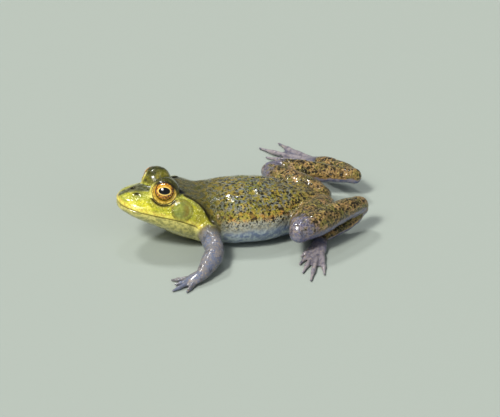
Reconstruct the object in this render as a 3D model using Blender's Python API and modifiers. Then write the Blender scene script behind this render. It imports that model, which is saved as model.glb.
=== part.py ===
"""A bullfrog, life size, lying on its belly with its head raised and its hind legs drawn up.

Lengths are in millimetres until the meshes are written. The frog looks along -X, its left
side is on -Y, and the floor is Z = 0 with the middle of the belly at the origin.
"""

import bmesh
import bpy
import numpy as np
from mathutils import Matrix, Vector

MM = 0.001
GAP = 0.3  # clearance where two pieces meet

# The head has a frame of its own: forward, left and up, with the mouth lying at up = 0.
HEAD_PIVOT = (-20.0, 0.0, 17.1)
HEAD_PITCH = 15.0  # degrees the snout is raised
HEAD_YAW = 9.0  # degrees the head is turned to its left
# forward, half width, roof height, depth of the lower jaw, squareness of the upper half
HEAD_STATIONS = (
    (-14.0, 20.5, 11.6, 15.0, 2.6),
    (-6.0, 22.6, 12.4, 15.8, 2.8),
    (2.0, 23.8, 13.0, 15.2, 3.3),
    (8.0, 23.8, 13.2, 13.6, 3.6),
    (14.0, 22.8, 13.0, 11.8, 3.5),
    (20.0, 21.2, 12.2, 10.0, 3.0),
    (26.0, 19.0, 10.8, 8.6, 2.6),
    (31.0, 16.7, 9.2, 7.3, 2.5),
    (35.5, 14.2, 7.7, 6.1, 2.4),
    (39.0, 11.5, 6.3, 4.9, 2.3),
    (41.6, 8.6, 5.0, 3.8, 2.2),
    (43.2, 5.4, 3.8, 2.8, 2.2),
    (44.0, 2.2, 2.6, 1.8, 2.2),
)
CHEEK_HEIGHT = 2.6  # the head is widest this far above the mouth
EYE_CENTRE = (21.6, 9.7, 13.3)  # forward, out, up in the head's frame
EYE_AXIS = (0.40, 0.82, 0.40)
EYE_RADIUS = 6.6
LID_RADIUS = 6.0  # of the opening between the lids
BROW_RADIUS = 8.6
BROW_INSET = 2.4
BROW_BACK = (15.6, 3.6, 10.6)  # a smaller ball that slopes each brow into the nape
BROW_BACK_RADIUS = 6.4
NOSTRIL = (35.8, 5.0, 7.4)
NOSTRIL_RADIUS = 0.7
TYMPANUM_CENTRE = (13.2, 21.4, 7.5)
TYMPANUM_AXIS = (0.20, 0.90, 0.34)
TYMPANUM_RADIUS = 5.4
TYMPANUM_DEPTH = 2.6
# forward, height of the mouth's edge
MOUTH_LINE = (
    (44.0, 0.2),
    (36.0, 0.4),
    (26.0, 1.0),
    (18.0, 1.2),
    (10.0, 0.6),
    (2.0, -1.2),
    (0.0, -1.8),
)
NECK_CUT = 2.0  # how far forward in the head's frame the neck is parted

# x, half width, top, bottom, height of the widest place
TRUNK_STATIONS = (
    (-27.0, 15.0, 23.0, 8.0, 15.0),
    (-22.0, 19.5, 26.6, 3.6, 14.6),
    (-16.0, 22.6, 28.6, 0.6, 14.2),
    (-9.0, 24.6, 29.6, -0.5, 13.6),
    (0.0, 26.3, 30.4, -0.6, 13.2),
    (10.0, 27.3, 30.5, -0.6, 13.0),
    (20.0, 26.6, 29.9, -0.6, 13.0),
    (30.0, 23.8, 28.6, -0.5, 13.2),
    (38.0, 19.8, 27.0, 0.6, 13.6),
    (46.0, 15.4, 24.6, 3.0, 13.8),
    (53.0, 11.4, 21.8, 5.4, 13.8),
    (58.5, 7.8, 19.2, 7.6, 13.6),
    (62.0, 4.6, 16.8, 9.6, 13.4),
    (63.6, 1.8, 14.8, 11.6, 13.2),
)

# x, y, z, half width, half height
UPPER_ARMS = {
    "left": (
        (-12.3, -17.0, 13.5, 7.2, 7.2),
        (-12.0, -24.5, 12.6, 6.6, 6.6),
        (-11.5, -32.0, 11.0, 5.8, 5.9),
        (-10.8, -39.5, 9.2, 5.1, 5.3),
    ),
    "right": (
        (-12.8, 17.0, 13.5, 7.2, 7.2),
        (-12.6, 24.5, 12.6, 6.6, 6.6),
        (-12.2, 31.0, 11.0, 5.8, 5.9),
        (-11.8, 37.5, 9.2, 5.1, 5.3),
    ),
}
FOREARMS = {
    "left": (
        (-10.8, -39.5, 9.2, 5.1, 5.3),
        (-13.2, -45.0, 8.0, 5.9, 5.6),
        (-17.0, -51.0, 6.0, 5.0, 4.6),
        (-21.0, -57.0, 4.3, 3.8, 3.4),
    ),
    "right": (
        (-11.8, 37.5, 9.2, 5.1, 5.3),
        (-14.6, 42.4, 8.0, 5.9, 5.6),
        (-18.6, 47.8, 6.0, 5.0, 4.6),
        (-23.0, 52.8, 4.3, 3.8, 3.4),
    ),
}
THIGHS = {
    "left": (
        (57.5, -7.0, 14.8, 8.0, 7.4),
        (52.0, -15.0, 15.4, 10.0, 8.4),
        (46.2, -23.6, 15.9, 9.6, 8.2),
        (41.2, -31.6, 16.1, 8.0, 7.6),
        (38.0, -38.0, 16.0, 6.0, 6.6),
    ),
    "right": (
        (57.5, 7.0, 14.4, 8.0, 7.6),
        (51.5, 15.0, 14.4, 10.4, 9.4),
        (45.2, 24.5, 14.6, 10.0, 9.2),
        (39.6, 33.5, 15.0, 8.0, 8.0),
        (36.0, 41.2, 15.4, 6.0, 6.6),
    ),
}
SHANKS = {
    "left": (
        (38.0, -38.0, 16.0, 6.0, 6.6),
        (46.5, -33.0, 16.8, 7.5, 7.6),
        (57.0, -26.0, 17.3, 7.3, 7.4),
        (67.5, -18.4, 17.4, 6.3, 6.5),
        (76.4, -11.8, 16.2, 5.2, 5.5),
        (79.4, -9.4, 15.4, 4.8, 5.2),
    ),
    "right": (
        (36.0, 41.2, 15.4, 6.0, 6.6),
        (45.5, 41.4, 15.5, 7.2, 7.2),
        (57.0, 39.4, 14.9, 7.0, 6.6),
        (69.0, 36.2, 14.1, 5.6, 5.4),
        (80.4, 33.0, 13.4, 4.5, 4.6),
        (84.0, 32.0, 13.2, 4.4, 4.6),
    ),
}
TARSI = {
    "left": (
        (79.4, -9.4, 13.6, 4.6, 4.9),
        (74.4, -13.2, 9.0, 4.2, 3.9),
        (64.4, -18.2, 5.1, 3.8, 3.0),
        (54.8, -22.2, 3.6, 4.3, 2.7),
    ),
    "right": (
        (84.0, 32.0, 13.0, 4.4, 4.5),
        (81.2, 41.0, 12.6, 4.2, 4.0),
        (76.8, 50.4, 11.8, 3.9, 3.4),
        (71.6, 59.2, 10.4, 4.3, 3.1),
    ),
}

# A hand or foot starts at the end of its limb and points towards the tip of its longest digit.
HANDS = {
    "left": {"root": (-21.4, -57.6, 4.1), "towards": (-39.6, -65.8, 1.0), "inner": -1.0},
    "right": {"root": (-23.5, 53.3, 4.1), "towards": (-42.8, 58.0, 1.0), "inner": 1.0},
}
FEET = {
    "left": {"root": (54.0, -22.8, 3.6), "towards": (36.0, -72.0, 1.0), "inner": -1.0},
    "right": {"root": (71.2, 59.8, 10.2), "towards": (43.5, 104.0, 1.0), "inner": 1.0},
}
# Bearing in degrees from the paw's own line, distance of the tip from the paw's root.
FINGERS = ((36.0, 17.5), (14.0, 16.5), (-6.0, 21.5), (-30.0, 17.5))
FINGER_RADII = (1.5, 1.15)
# The toes of the near foot are half closed; those of the far foot stand in a fork.
TOES = {
    "left": ((26.0, 22.5), (16.0, 31.5), (6.5, 40.5), (-2.5, 49.0), (-13.0, 41.0)),
    "right": ((35.0, 22.5), (23.5, 32.0), (13.5, 42.0), (4.0, 53.0), (-11.5, 51.0)),
}
TOE_RADII = (2.0, 1.1)
# length, then half widths and half thicknesses from the root to where the digits leave
PALM = (8.5, (3.7, 4.3, 4.9, 4.6), (3.2, 2.9, 2.4, 1.8))
SOLE = (15.0, (4.1, 4.3, 4.9, 5.2), (2.9, 2.7, 2.3, 1.8))
WEB_THICKNESS = 0.8
DIGIT_HEIGHT = 0.9  # height of a digit's middle where it rests
WEB_REACH = 0.93  # share of the shorter toe that the web follows
WEB_DIP = 0.74  # how far out the middle of the web's edge comes, as a share of its corners

FINISHES = {
    "head": ("green skin", (0.16, 0.20, 0.03), 0.35),
    "lower_jaw": ("pale skin", (0.48, 0.45, 0.18), 0.35),
    "tympanum": ("ear skin", (0.22, 0.24, 0.06), 0.35),
    "eye": ("eye", (0.30, 0.16, 0.03), 0.08),
    "trunk": ("back skin", (0.14, 0.12, 0.04), 0.35),
    "upper_arm": ("limb skin", (0.24, 0.22, 0.17), 0.35),
    "forearm": ("limb skin", (0.24, 0.22, 0.20), 0.35),
    "hand": ("limb skin", (0.26, 0.26, 0.26), 0.35),
    "thigh": ("leg skin", (0.17, 0.14, 0.07), 0.35),
    "shank": ("leg skin", (0.17, 0.13, 0.06), 0.35),
    "tarsus": ("leg skin", (0.16, 0.13, 0.08), 0.35),
    "foot": ("web skin", (0.20, 0.19, 0.20), 0.35),
}

BODY_TRIANGLES = 2900
RING_POINTS = 40


def through(knots, where):
    """Values at `where` on a smooth curve through the knots, whose first column is the place."""
    knots = np.asarray(knots, float)
    place = knots[:, 0]
    value = knots[:, 1:]
    if place[0] > place[-1]:
        place = place[::-1]
        value = value[::-1]
    slope = np.gradient(value, place, axis=0)
    where = np.clip(np.asarray(where, float), place[0], place[-1])
    left = np.clip(np.searchsorted(place, where, side="right") - 1, 0, len(place) - 2)
    span = (place[left + 1] - place[left])[:, None]
    t = (where - place[left])[:, None] / span
    start = value[left] * (1 + 2 * t) * (1 - t) ** 2 + slope[left] * span * t * (1 - t) ** 2
    end = value[left + 1] * t**2 * (3 - 2 * t) + slope[left + 1] * span * t**2 * (t - 1)
    return start + end


def head_axes():
    """Forward, left and up of the head as unit vectors of the frog's own frame."""
    pitch = np.radians(HEAD_PITCH)
    yaw = np.radians(HEAD_YAW)
    forward = np.array((-np.cos(pitch) * np.cos(yaw), -np.cos(pitch) * np.sin(yaw), np.sin(pitch)))
    left = np.array((np.sin(yaw), -np.cos(yaw), 0.0))
    up = np.array((np.sin(pitch) * np.cos(yaw), np.sin(pitch) * np.sin(yaw), np.cos(pitch)))
    return forward, left, up


def from_head(points):
    """Points given as forward, left, up of the head, in the frog's frame."""
    return np.asarray(HEAD_PIVOT) + np.asarray(points, float) @ np.array(head_axes())


def head_direction(vector):
    """A unit direction given in the head's frame, in the frog's frame."""
    turned = np.asarray(vector, float) @ np.array(head_axes())
    return turned / np.linalg.norm(turned)


def mirrored(point, side):
    """A point or direction of the head's left half, moved to the side asked for."""
    forward, out, up = point
    return (forward, out if side == "left" else -out, up)


def power(value, exponent):
    """value to a power with its sign kept, for rounded box sections."""
    return np.sign(value) * np.abs(value) ** exponent


def mesh_object(name, vertices, faces, folder):
    """A new object from millimetre points, with its faces turned outward."""
    mesh = bpy.data.meshes.new(name)
    mesh.from_pydata([tuple(v * MM) for v in np.asarray(vertices, float)], [], faces)
    fix = bmesh.new()
    fix.from_mesh(mesh)
    bmesh.ops.recalc_face_normals(fix, faces=fix.faces)
    fix.to_mesh(mesh)
    fix.free()
    made = bpy.data.objects.new(name, mesh)
    folder.objects.link(made)
    return made


def lofted(name, rings, folder):
    """A closed skin through rings of points, with a flat face over each end ring."""
    count, around, _ = rings.shape
    faces = []
    for i in range(count - 1):
        for j in range(around):
            here = i * around + j
            beside = i * around + (j + 1) % around
            faces.append((here, beside, beside + around, here + around))
    faces.append(tuple(range(around)))
    faces.append(tuple((count - 1) * around + j for j in range(around)))
    return mesh_object(name, rings.reshape(-1, 3), faces, folder)


def trunk_rings():
    """Upright rings down the trunk: rounded boxes, flatter below than above."""
    knots = np.asarray(TRUNK_STATIONS)
    x = knots[0, 0] + (knots[-1, 0] - knots[0, 0]) * np.linspace(0, 1, 90)
    half, top, bottom, middle = through(knots, x).T[:, :, None]
    turn = np.linspace(0, 2 * np.pi, RING_POINTS, endpoint=False)[None, :]
    rise = np.sin(turn)
    y = half * power(np.cos(turn), 0.86)
    above = middle + (top - middle) * power(rise, 0.92)
    below = middle + (middle - bottom) * power(rise, 0.80)
    z = np.where(rise > 0, above, below)
    return np.stack((np.broadcast_to(x[:, None], y.shape), y, z), axis=-1)


def head_rings():
    """Rings across the head: flat roof, full cheeks, and the lower jaw below the mouth."""
    knots = np.asarray(HEAD_STATIONS)
    share = np.sin(np.linspace(0, 0.5, 70) * np.pi)
    forward = knots[0, 0] + (knots[-1, 0] - knots[0, 0]) * share
    half, roof, jaw, square = through(knots, forward).T[:, :, None]
    cheek = CHEEK_HEIGHT * np.clip(roof / 12.0, 0.2, 1.0)
    turn = np.linspace(0, 2 * np.pi, RING_POINTS, endpoint=False)[None, :]
    rise = np.sin(turn)
    left = half * power(np.cos(turn), np.where(rise > 0, 2 / square, 0.86))
    above = cheek + (roof - cheek) * power(rise, 2 / square)
    below = cheek + (cheek + jaw) * power(rise, 0.90)
    up = np.where(rise > 0, above, below)
    local = np.stack((np.broadcast_to(forward[:, None], left.shape), left, up), axis=-1)
    return from_head(local.reshape(-1, 3)).reshape(local.shape)


def tube_rings(stations, steps=28, around=24, tips=(75.0, 50.0, 25.0)):
    """Oval rings along a limb, closed by a rounded end at each end."""
    stations = np.asarray(stations, float)
    steps_apart = np.linalg.norm(np.diff(stations[:, :3], axis=0), axis=1)
    run = np.concatenate(([0.0], np.cumsum(steps_apart)))
    line = through(np.column_stack((run, stations)), np.linspace(0, run[-1], steps))
    tangent = np.gradient(line[:, :3], axis=0)
    tangent /= np.linalg.norm(tangent, axis=1)[:, None]
    sections = [(p[:3], p[3:], t) for p, t in zip(line, tangent)]
    for angle in np.radians(tips[::-1]):
        for end, sign in ((0, -1.0), (-1, 1.0)):
            centre = line[end, :3] + sign * tangent[end] * line[end, 3] * np.sin(angle)
            section = (centre, line[end, 3:] * np.cos(angle), tangent[end])
            sections.insert(0 if end == 0 else len(sections), section)
    turn = np.linspace(0, 2 * np.pi, around, endpoint=False)[:, None]
    rings = []
    for centre, (half, high), ahead in sections:
        side = np.cross(ahead, (0.0, 0.0, 1.0))
        side /= np.linalg.norm(side)
        upward = np.cross(side, ahead)
        rings.append(centre + half * np.cos(turn) * side + high * np.sin(turn) * upward)
    return np.array(rings)


def ball(name, centre, radius, folder, segments=20, rings=12):
    """A closed ball."""
    bm = bmesh.new()
    bmesh.ops.create_uvsphere(bm, u_segments=segments, v_segments=rings, radius=radius * MM)
    bmesh.ops.translate(bm, verts=bm.verts, vec=Vector(centre) * MM)
    mesh = bpy.data.meshes.new(name)
    bm.to_mesh(mesh)
    bm.free()
    made = bpy.data.objects.new(name, mesh)
    folder.objects.link(made)
    return made


def slab(name, centre, normal, along, lengths, folder, thickness=GAP):
    """A thin plate that parts two pieces: it faces `normal` and runs `along` one edge."""
    normal = Vector(normal).normalized()
    along = Vector(along)
    along = (along - normal * along.dot(normal)).normalized()
    across = normal.cross(along)
    turn = Matrix((along, across, normal)).transposed().to_4x4()
    size = Matrix.Diagonal((lengths[0] * MM, lengths[1] * MM, thickness * MM, 1.0))
    bm = bmesh.new()
    bmesh.ops.create_cube(bm, size=1.0, matrix=Matrix.Translation(Vector(centre) * MM) @ turn @ size)
    mesh = bpy.data.meshes.new(name)
    bm.to_mesh(mesh)
    bm.free()
    made = bpy.data.objects.new(name, mesh)
    folder.objects.link(made)
    made.hide_render = True
    made.display_type = "WIRE"
    return made


def wall(name, start, end, heights, folder):
    """A thin upright plate over a line drawn on the floor."""
    start = Vector((*start, 0.0))
    run = Vector((*end, 0.0)) - start
    middle = start + run / 2 + Vector((0.0, 0.0, sum(heights) / 2))
    facing = run.cross(Vector((0.0, 0.0, 1.0)))
    return slab(name, middle, facing, run, (run.length, heights[1] - heights[0]), folder)


def disc(name, centre, normal, radius, folder, thickness=GAP, sides=32):
    """A thin round plate that parts a limb across."""
    turn = Vector(normal).normalized().to_track_quat("Z", "Y").to_matrix().to_4x4()
    bm = bmesh.new()
    bmesh.ops.create_cone(
        bm,
        cap_ends=True,
        segments=sides,
        radius1=radius * MM,
        radius2=radius * MM,
        depth=thickness * MM,
        matrix=Matrix.Translation(Vector(centre) * MM) @ turn,
    )
    mesh = bpy.data.meshes.new(name)
    bm.to_mesh(mesh)
    bm.free()
    made = bpy.data.objects.new(name, mesh)
    folder.objects.link(made)
    made.hide_render = True
    made.display_type = "WIRE"
    return made


def baked(made):
    """Replaces an object's mesh by what its modifiers make of it."""
    bpy.context.view_layer.update()
    done = bpy.data.meshes.new_from_object(made.evaluated_get(bpy.context.evaluated_depsgraph_get()))
    made.modifiers.clear()
    made.data = done


def combined(target, other, operation):
    """Unites `other` with the target or takes it away from the target."""
    step = target.modifiers.new(operation.lower(), "BOOLEAN")
    step.operation = operation
    step.solver = "EXACT"
    step.object = other
    baked(target)


def joined(name, bodies, folder):
    """One object that holds the meshes of several bodies side by side."""
    bm = bmesh.new()
    for body in bodies:
        bm.from_mesh(body.data)
        bpy.data.objects.remove(body)
    mesh = bpy.data.meshes.new(name)
    bm.to_mesh(mesh)
    bm.free()
    made = bpy.data.objects.new(name, mesh)
    folder.objects.link(made)
    return made


def paw_line(spot):
    """Root of a paw and the level direction it points in."""
    root = np.asarray(spot["root"], float)
    ahead = np.asarray(spot["towards"], float) - root
    ahead[2] = 0.0
    return root, ahead / np.linalg.norm(ahead)


def paw_height(spot, share):
    """Height of the middle of the palm a share of its length from the root."""
    return spot["root"][2] * (1 - 0.45 * share)


def digit_line(spot, palm_length, bearing, length):
    """Points down one digit: it leaves the palm and comes down to the floor."""
    root, ahead = paw_line(spot)
    side = np.array((-ahead[1], ahead[0], 0.0)) * spot["inner"]
    angle = np.radians(bearing)
    way = ahead * np.cos(angle) + side * np.sin(angle)
    narrow = ahead * np.cos(angle * 0.45) + side * np.sin(angle * 0.45)
    start = 0.48 * palm_length
    base = root + narrow * start
    base[2] = paw_height(spot, 0.48)
    reach = np.linspace(0, 1, 5)[:, None]
    line = base + way * (length - start) * reach
    line[:, 2] = DIGIT_HEIGHT + (base[2] - DIGIT_HEIGHT) * (1 - reach[:, 0]) ** 1.3
    return line


def digit_rings(line, radii, knuckle=0.18):
    """Rings of one digit with soft knuckles and a blunt tip."""
    share = np.linspace(0, 1, len(line))
    radius = radii[0] + (radii[1] - radii[0]) * share
    radius = radius * (1 + knuckle * np.cos(share * 4 * np.pi) * (share > 0.2))
    return tube_rings(np.column_stack((line, radius, radius)), 5, 6, (55.0,))


def web_plate(name, first, second, folder):
    """A thin web between two digits, with a hollow outer edge."""
    shorter = min(np.linalg.norm(first[-1] - first[0]), np.linalg.norm(second[-1] - second[0]))
    down = np.linspace(0.02, 1.0, 4)
    lines = []
    for line in (first, second):
        share = WEB_REACH * shorter / np.linalg.norm(line[-1] - line[0])
        knots = np.column_stack((np.linspace(0, 1, len(line)), line))
        lines.append(through(knots, down * min(share, 0.94)))
    across = np.linspace(0, 1, 4)
    rows = []
    for step, ratio in enumerate(down):
        dip = 1 - (1 - WEB_DIP) * ratio**2 * (1 - (2 * across - 1) ** 4)
        middle = lines[0][step] + (lines[1][step] - lines[0][step]) * across[:, None]
        start = lines[0][0] + (lines[1][0] - lines[0][0]) * across[:, None]
        rows.append(start + (middle - start) * dip[:, None])
    grid = np.array(rows)
    grid[:, :, 2] = np.maximum(grid[:, :, 2] - 0.5, WEB_THICKNESS / 2)
    half = np.array((0.0, 0.0, WEB_THICKNESS / 2))
    long, wide, _ = grid.shape
    vertices = np.concatenate(((grid + half).reshape(-1, 3), (grid - half).reshape(-1, 3)))
    under = long * wide
    faces = []
    for i in range(long - 1):
        for j in range(wide - 1):
            a = i * wide + j
            faces.append((a, a + 1, a + wide + 1, a + wide))
            faces.append((under + a, under + a + wide, under + a + wide + 1, under + a + 1))
    rim = list(range(wide))
    rim += [i * wide + wide - 1 for i in range(1, long)]
    rim += [(long - 1) * wide + j for j in range(wide - 2, -1, -1)]
    rim += [i * wide for i in range(long - 2, 0, -1)]
    for a, b in zip(rim, rim[1:] + rim[:1]):
        faces.append((a, b, under + b, under + a))
    return mesh_object(name, vertices, faces, folder)


def palm_rings(spot, length, widths, thicknesses):
    """The palm or sole from the limb's end to where the digits leave."""
    root, ahead = paw_line(spot)
    stations = []
    for share, width, thick in zip(np.linspace(0, 1, len(widths)), widths, thicknesses):
        place = root + ahead * length * share
        stations.append((place[0], place[1], paw_height(spot, share), width, thick))
    return tube_rings(stations, 5, 10, (60.0, 30.0))


def paw(name, spot, digits, radii, palm, webbed, folder):
    """A whole hand or foot: palm, digits and webs in one closed body."""
    lines = [digit_line(spot, palm[0], bearing, length) for bearing, length in digits]
    body = lofted(name, palm_rings(spot, *palm), folder)
    for number, line in enumerate(lines):
        digit = lofted(f"{name} digit {number}", digit_rings(line, radii), folder)
        combined(body, digit, "UNION")
        bpy.data.objects.remove(digit)
    if webbed:
        for number in range(len(lines) - 1):
            web = web_plate(f"{name} web {number}", lines[number], lines[number + 1], folder)
            combined(body, web, "UNION")
            bpy.data.objects.remove(web)
    return body


def mouth_sheet(folder):
    """The thin curved sheet that parts the lower jaw along the mouth."""
    forward = np.linspace(NECK_CUT - 0.1, 50.0, 24)
    up = through(MOUTH_LINE, forward)[:, 0]
    rows = []
    for side in (-34.0, 34.0):
        for lift in (-GAP / 2, GAP / 2):
            rows.append(from_head(np.column_stack((forward, np.full_like(forward, side), up + lift))))
    low_right, high_right, low_left, high_left = rows
    rings = np.stack((low_right, low_left, high_left, high_right), axis=1)
    made = lofted("mouth cut", rings, folder)
    made.hide_render = True
    made.display_type = "WIRE"
    return made


def ear_cup(side, folder):
    """A thin cup that parts the round tympanum from the cheek."""
    centre = Vector(from_head([mirrored(TYMPANUM_CENTRE, side)])[0])
    axis = Vector(head_direction(mirrored(TYMPANUM_AXIS, side)))
    cup_place = centre + axis * (3.0 - TYMPANUM_DEPTH - GAP)
    core_place = centre + axis * (3.5 - TYMPANUM_DEPTH)
    cup = disc(f"ear cut {side}", cup_place, axis, TYMPANUM_RADIUS + GAP, folder, 6.0, 20)
    core = disc(f"ear core {side}", core_place, axis, TYMPANUM_RADIUS, folder, 7.0, 20)
    combined(cup, core, "DIFFERENCE")
    bpy.data.objects.remove(core)
    return cup


def mitre(name, first, corner, last, lengths, folder, shift=0.0):
    """A plate through a bent joint that shares the bend evenly between both limbs."""
    corner = Vector(corner)
    back = (Vector(first) - corner).normalized()
    on = (Vector(last) - corner).normalized()
    between = (back + on).normalized()
    return slab(name, corner + between * shift, back - on, between, lengths, folder)


def trimmed(piece, joint, way, folder):
    """Takes away what lies beyond a joint, half the clearance short of it."""
    depth = 24.0
    middle = joint + way * (depth - GAP) / 2
    block = slab(f"trim {piece.name}", middle, way, (0, 0, 1), (40.0, 40.0), folder, depth)
    combined(piece, block, "DIFFERENCE")


def painted(made, name, colour, roughness):
    """Gives one piece its own plain material."""
    material = bpy.data.materials.new(name)
    material.use_nodes = True
    shader = material.node_tree.nodes["Principled BSDF"]
    shader.inputs["Base Color"].default_value = (*colour, 1.0)
    shader.inputs["Roughness"].default_value = roughness
    made.data.materials.clear()
    made.data.materials.append(material)


def islands(made, folder):
    """Splits an object into one object for each separate body in it."""
    bm = bmesh.new()
    bm.from_mesh(made.data)
    bm.verts.ensure_lookup_table()
    left = set(bm.verts)
    pieces = []
    while left:
        front = [left.pop()]
        group = set(front)
        while front:
            for edge in front.pop().link_edges:
                for vert in edge.verts:
                    if vert in left:
                        left.discard(vert)
                        group.add(vert)
                        front.append(vert)
        order = {vert: number for number, vert in enumerate(sorted(group, key=lambda v: v.index))}
        faces = [tuple(order[v] for v in face.verts) for face in bm.faces if face.verts[0] in group]
        points = np.array([vert.co[:] for vert in order]) / MM
        pieces.append((points, faces))
    bm.free()
    bpy.data.objects.remove(made)
    return [mesh_object("piece", points, faces, folder) for points, faces in pieces]


for old in list(bpy.data.objects):
    bpy.data.objects.remove(old)
frog = bpy.data.collections.new("Bullfrog")
tools = bpy.data.collections.new("Cutters")
bpy.context.scene.collection.children.link(frog)
bpy.context.scene.collection.children.link(tools)

masses = [lofted("trunk mass", trunk_rings(), frog), lofted("head mass", head_rings(), frog)]
for side in ("left", "right"):
    brow_axis = head_direction(mirrored(EYE_AXIS, side))
    eye = from_head([mirrored(EYE_CENTRE, side)])[0]
    masses.append(ball(f"brow {side}", eye - brow_axis * BROW_INSET, BROW_RADIUS, frog, 32, 20))
    masses.append(ball(f"brow back {side}", from_head([mirrored(BROW_BACK, side)])[0], BROW_BACK_RADIUS, frog, 28, 16))
    for limbs in (UPPER_ARMS, FOREARMS, THIGHS, SHANKS, TARSI):
        masses.append(lofted(f"limb {side}", tube_rings(limbs[side]), frog))
body = joined("body", masses, frog)
skin = body.modifiers.new("one skin", "REMESH")
skin.mode = "VOXEL"
skin.voxel_size = 0.7 * MM
soft = body.modifiers.new("soft joins", "SMOOTH")
soft.factor = 0.5
soft.iterations = 7
baked(body)
triangles = sum(len(face.vertices) - 2 for face in body.data.polygons)
fewer = body.modifiers.new("fewer faces", "DECIMATE")
fewer.ratio = BODY_TRIANGLES / triangles
fewer.use_collapse_triangulate = True
baked(body)

floor = slab("floor cut", (10.0, 0.0, -10.0), (0, 0, 1), (1, 0, 0), (300.0, 300.0), tools, 20.0)
combined(body, floor, "DIFFERENCE")

forward, left, up = head_axes()
cuts = [
    slab("neck cut", from_head([(NECK_CUT, 0.0, 0.0)])[0], forward, left, (60.0, 64.0), tools),
    mouth_sheet(tools),
]
for side in ("left", "right"):
    sign = -1.0 if side == "left" else 1.0
    arm = [Vector(p[:3]) for p in UPPER_ARMS[side]]
    forearm = [Vector(p[:3]) for p in FOREARMS[side]]
    thigh = [Vector(p[:3]) for p in THIGHS[side]]
    shank = [Vector(p[:3]) for p in SHANKS[side]]
    tarsus = [Vector(p[:3]) for p in TARSI[side]]
    shoulder = (-12.6, sign * 27.2, 12.2)
    groin = (27.0, sign * 31.5)
    rump = (68.6, sign * 1.0)
    cuts += [
        disc(f"shoulder cut {side}", shoulder, (0.0, sign, 0.0), 10.6, tools),
        mitre(f"elbow cut {side}", arm[2], arm[3], forearm[1], (19.0, 18.0), tools),
        wall(f"hip cut {side}", groin, rump, (-4.0, 36.0), tools),
        mitre(f"knee cut {side}", thigh[3], thigh[4], shank[2], (58.0, 30.0), tools, 18.0),
        mitre(f"heel cut {side}", shank[3], shank[5], tarsus[2], (40.0, 15.0), tools, 12.0),
    ]
for cut in cuts:
    combined(body, cut, "DIFFERENCE")

for side in ("left", "right"):
    centre = from_head([mirrored(EYE_CENTRE, side)])[0]
    gaze = head_direction(mirrored(EYE_AXIS, side))
    nose = from_head([mirrored(NOSTRIL, side)])[0]
    socket = ball(f"socket {side}", centre, EYE_RADIUS + GAP, tools, 16, 10)
    rim = disc(f"lid rim {side}", centre + gaze * 6.0, gaze, LID_RADIUS, tools, 6.0, 16)
    combined(socket, rim, "UNION")
    nostril = ball(f"nostril {side}", nose, NOSTRIL_RADIUS, tools, 10, 6)
    for cutter in (socket, ear_cup(side, tools), nostril):
        cutter.hide_render = True
        cutter.display_type = "WIRE"
        combined(body, cutter, "DIFFERENCE")

# Where each piece of the body lies, to tell the pieces apart once they are parted.
places = {
    "head": from_head([(18.0, 0.0, 8.0)])[0],
    "lower_jaw": from_head([(20.0, 0.0, -6.0)])[0],
    "trunk": np.array((20.0, 0.0, 14.0)),
}
for side in ("left", "right"):
    places[f"tympanum_{side}"] = from_head([mirrored(TYMPANUM_CENTRE, side)])[0]
    places[f"upper_arm_{side}"] = np.array(UPPER_ARMS[side][2][:3])
    places[f"forearm_{side}"] = np.array(FOREARMS[side][2][:3])
    places[f"thigh_{side}"] = np.array(THIGHS[side][2][:3])
    places[f"shank_{side}"] = np.array(SHANKS[side][2][:3])
    places[f"tarsus_{side}"] = np.array(TARSI[side][2][:3])
pieces = {}
for piece in islands(body, frog):
    corners = np.array([v.co[:] for v in piece.data.vertices]) / MM
    middle = (corners.min(0) + corners.max(0)) / 2
    name = min(places, key=lambda known: np.linalg.norm(places[known] - middle))
    piece.name = name
    piece.data.name = name
    pieces[name] = piece

for side in ("left", "right"):
    centre = from_head([mirrored(EYE_CENTRE, side)])[0]
    pieces[f"eye_{side}"] = ball(f"eye_{side}", centre, EYE_RADIUS, frog, 16, 9)
    hand = paw(f"hand_{side}", HANDS[side], FINGERS, FINGER_RADII, PALM, False, frog)
    foot = paw(f"foot_{side}", FEET[side], TOES[side], TOE_RADII, SOLE, True, frog)
    for paw_piece, spot, limb, stations in (
        (hand, HANDS[side], pieces[f"forearm_{side}"], FOREARMS[side]),
        (foot, FEET[side], pieces[f"tarsus_{side}"], TARSI[side]),
    ):
        joint = Vector(stations[-1][:3])
        limb_way = (joint - Vector(stations[-2][:3])).normalized()
        paw_way = Vector(spot["towards"]) - Vector(spot["root"])
        paw_way.z = 0.0
        way = (limb_way + paw_way.normalized()).normalized()
        trimmed(limb, joint, way, tools)
        trimmed(paw_piece, joint, -way, tools)
        combined(paw_piece, floor, "DIFFERENCE")
        pieces[paw_piece.name] = paw_piece

for name, piece in pieces.items():
    group, colour, roughness = next(entry for start, entry in FINISHES.items() if name.startswith(start))
    painted(piece, f"{group} {name}", colour, roughness)
    for face in piece.data.polygons:
        face.use_smooth = True
    piece.data.set_sharp_from_angle(angle=np.radians(38.0))
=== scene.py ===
import itertools
from types import SimpleNamespace

import bmesh
import bpy
import numpy as np
from mathutils import Matrix, Vector


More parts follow.
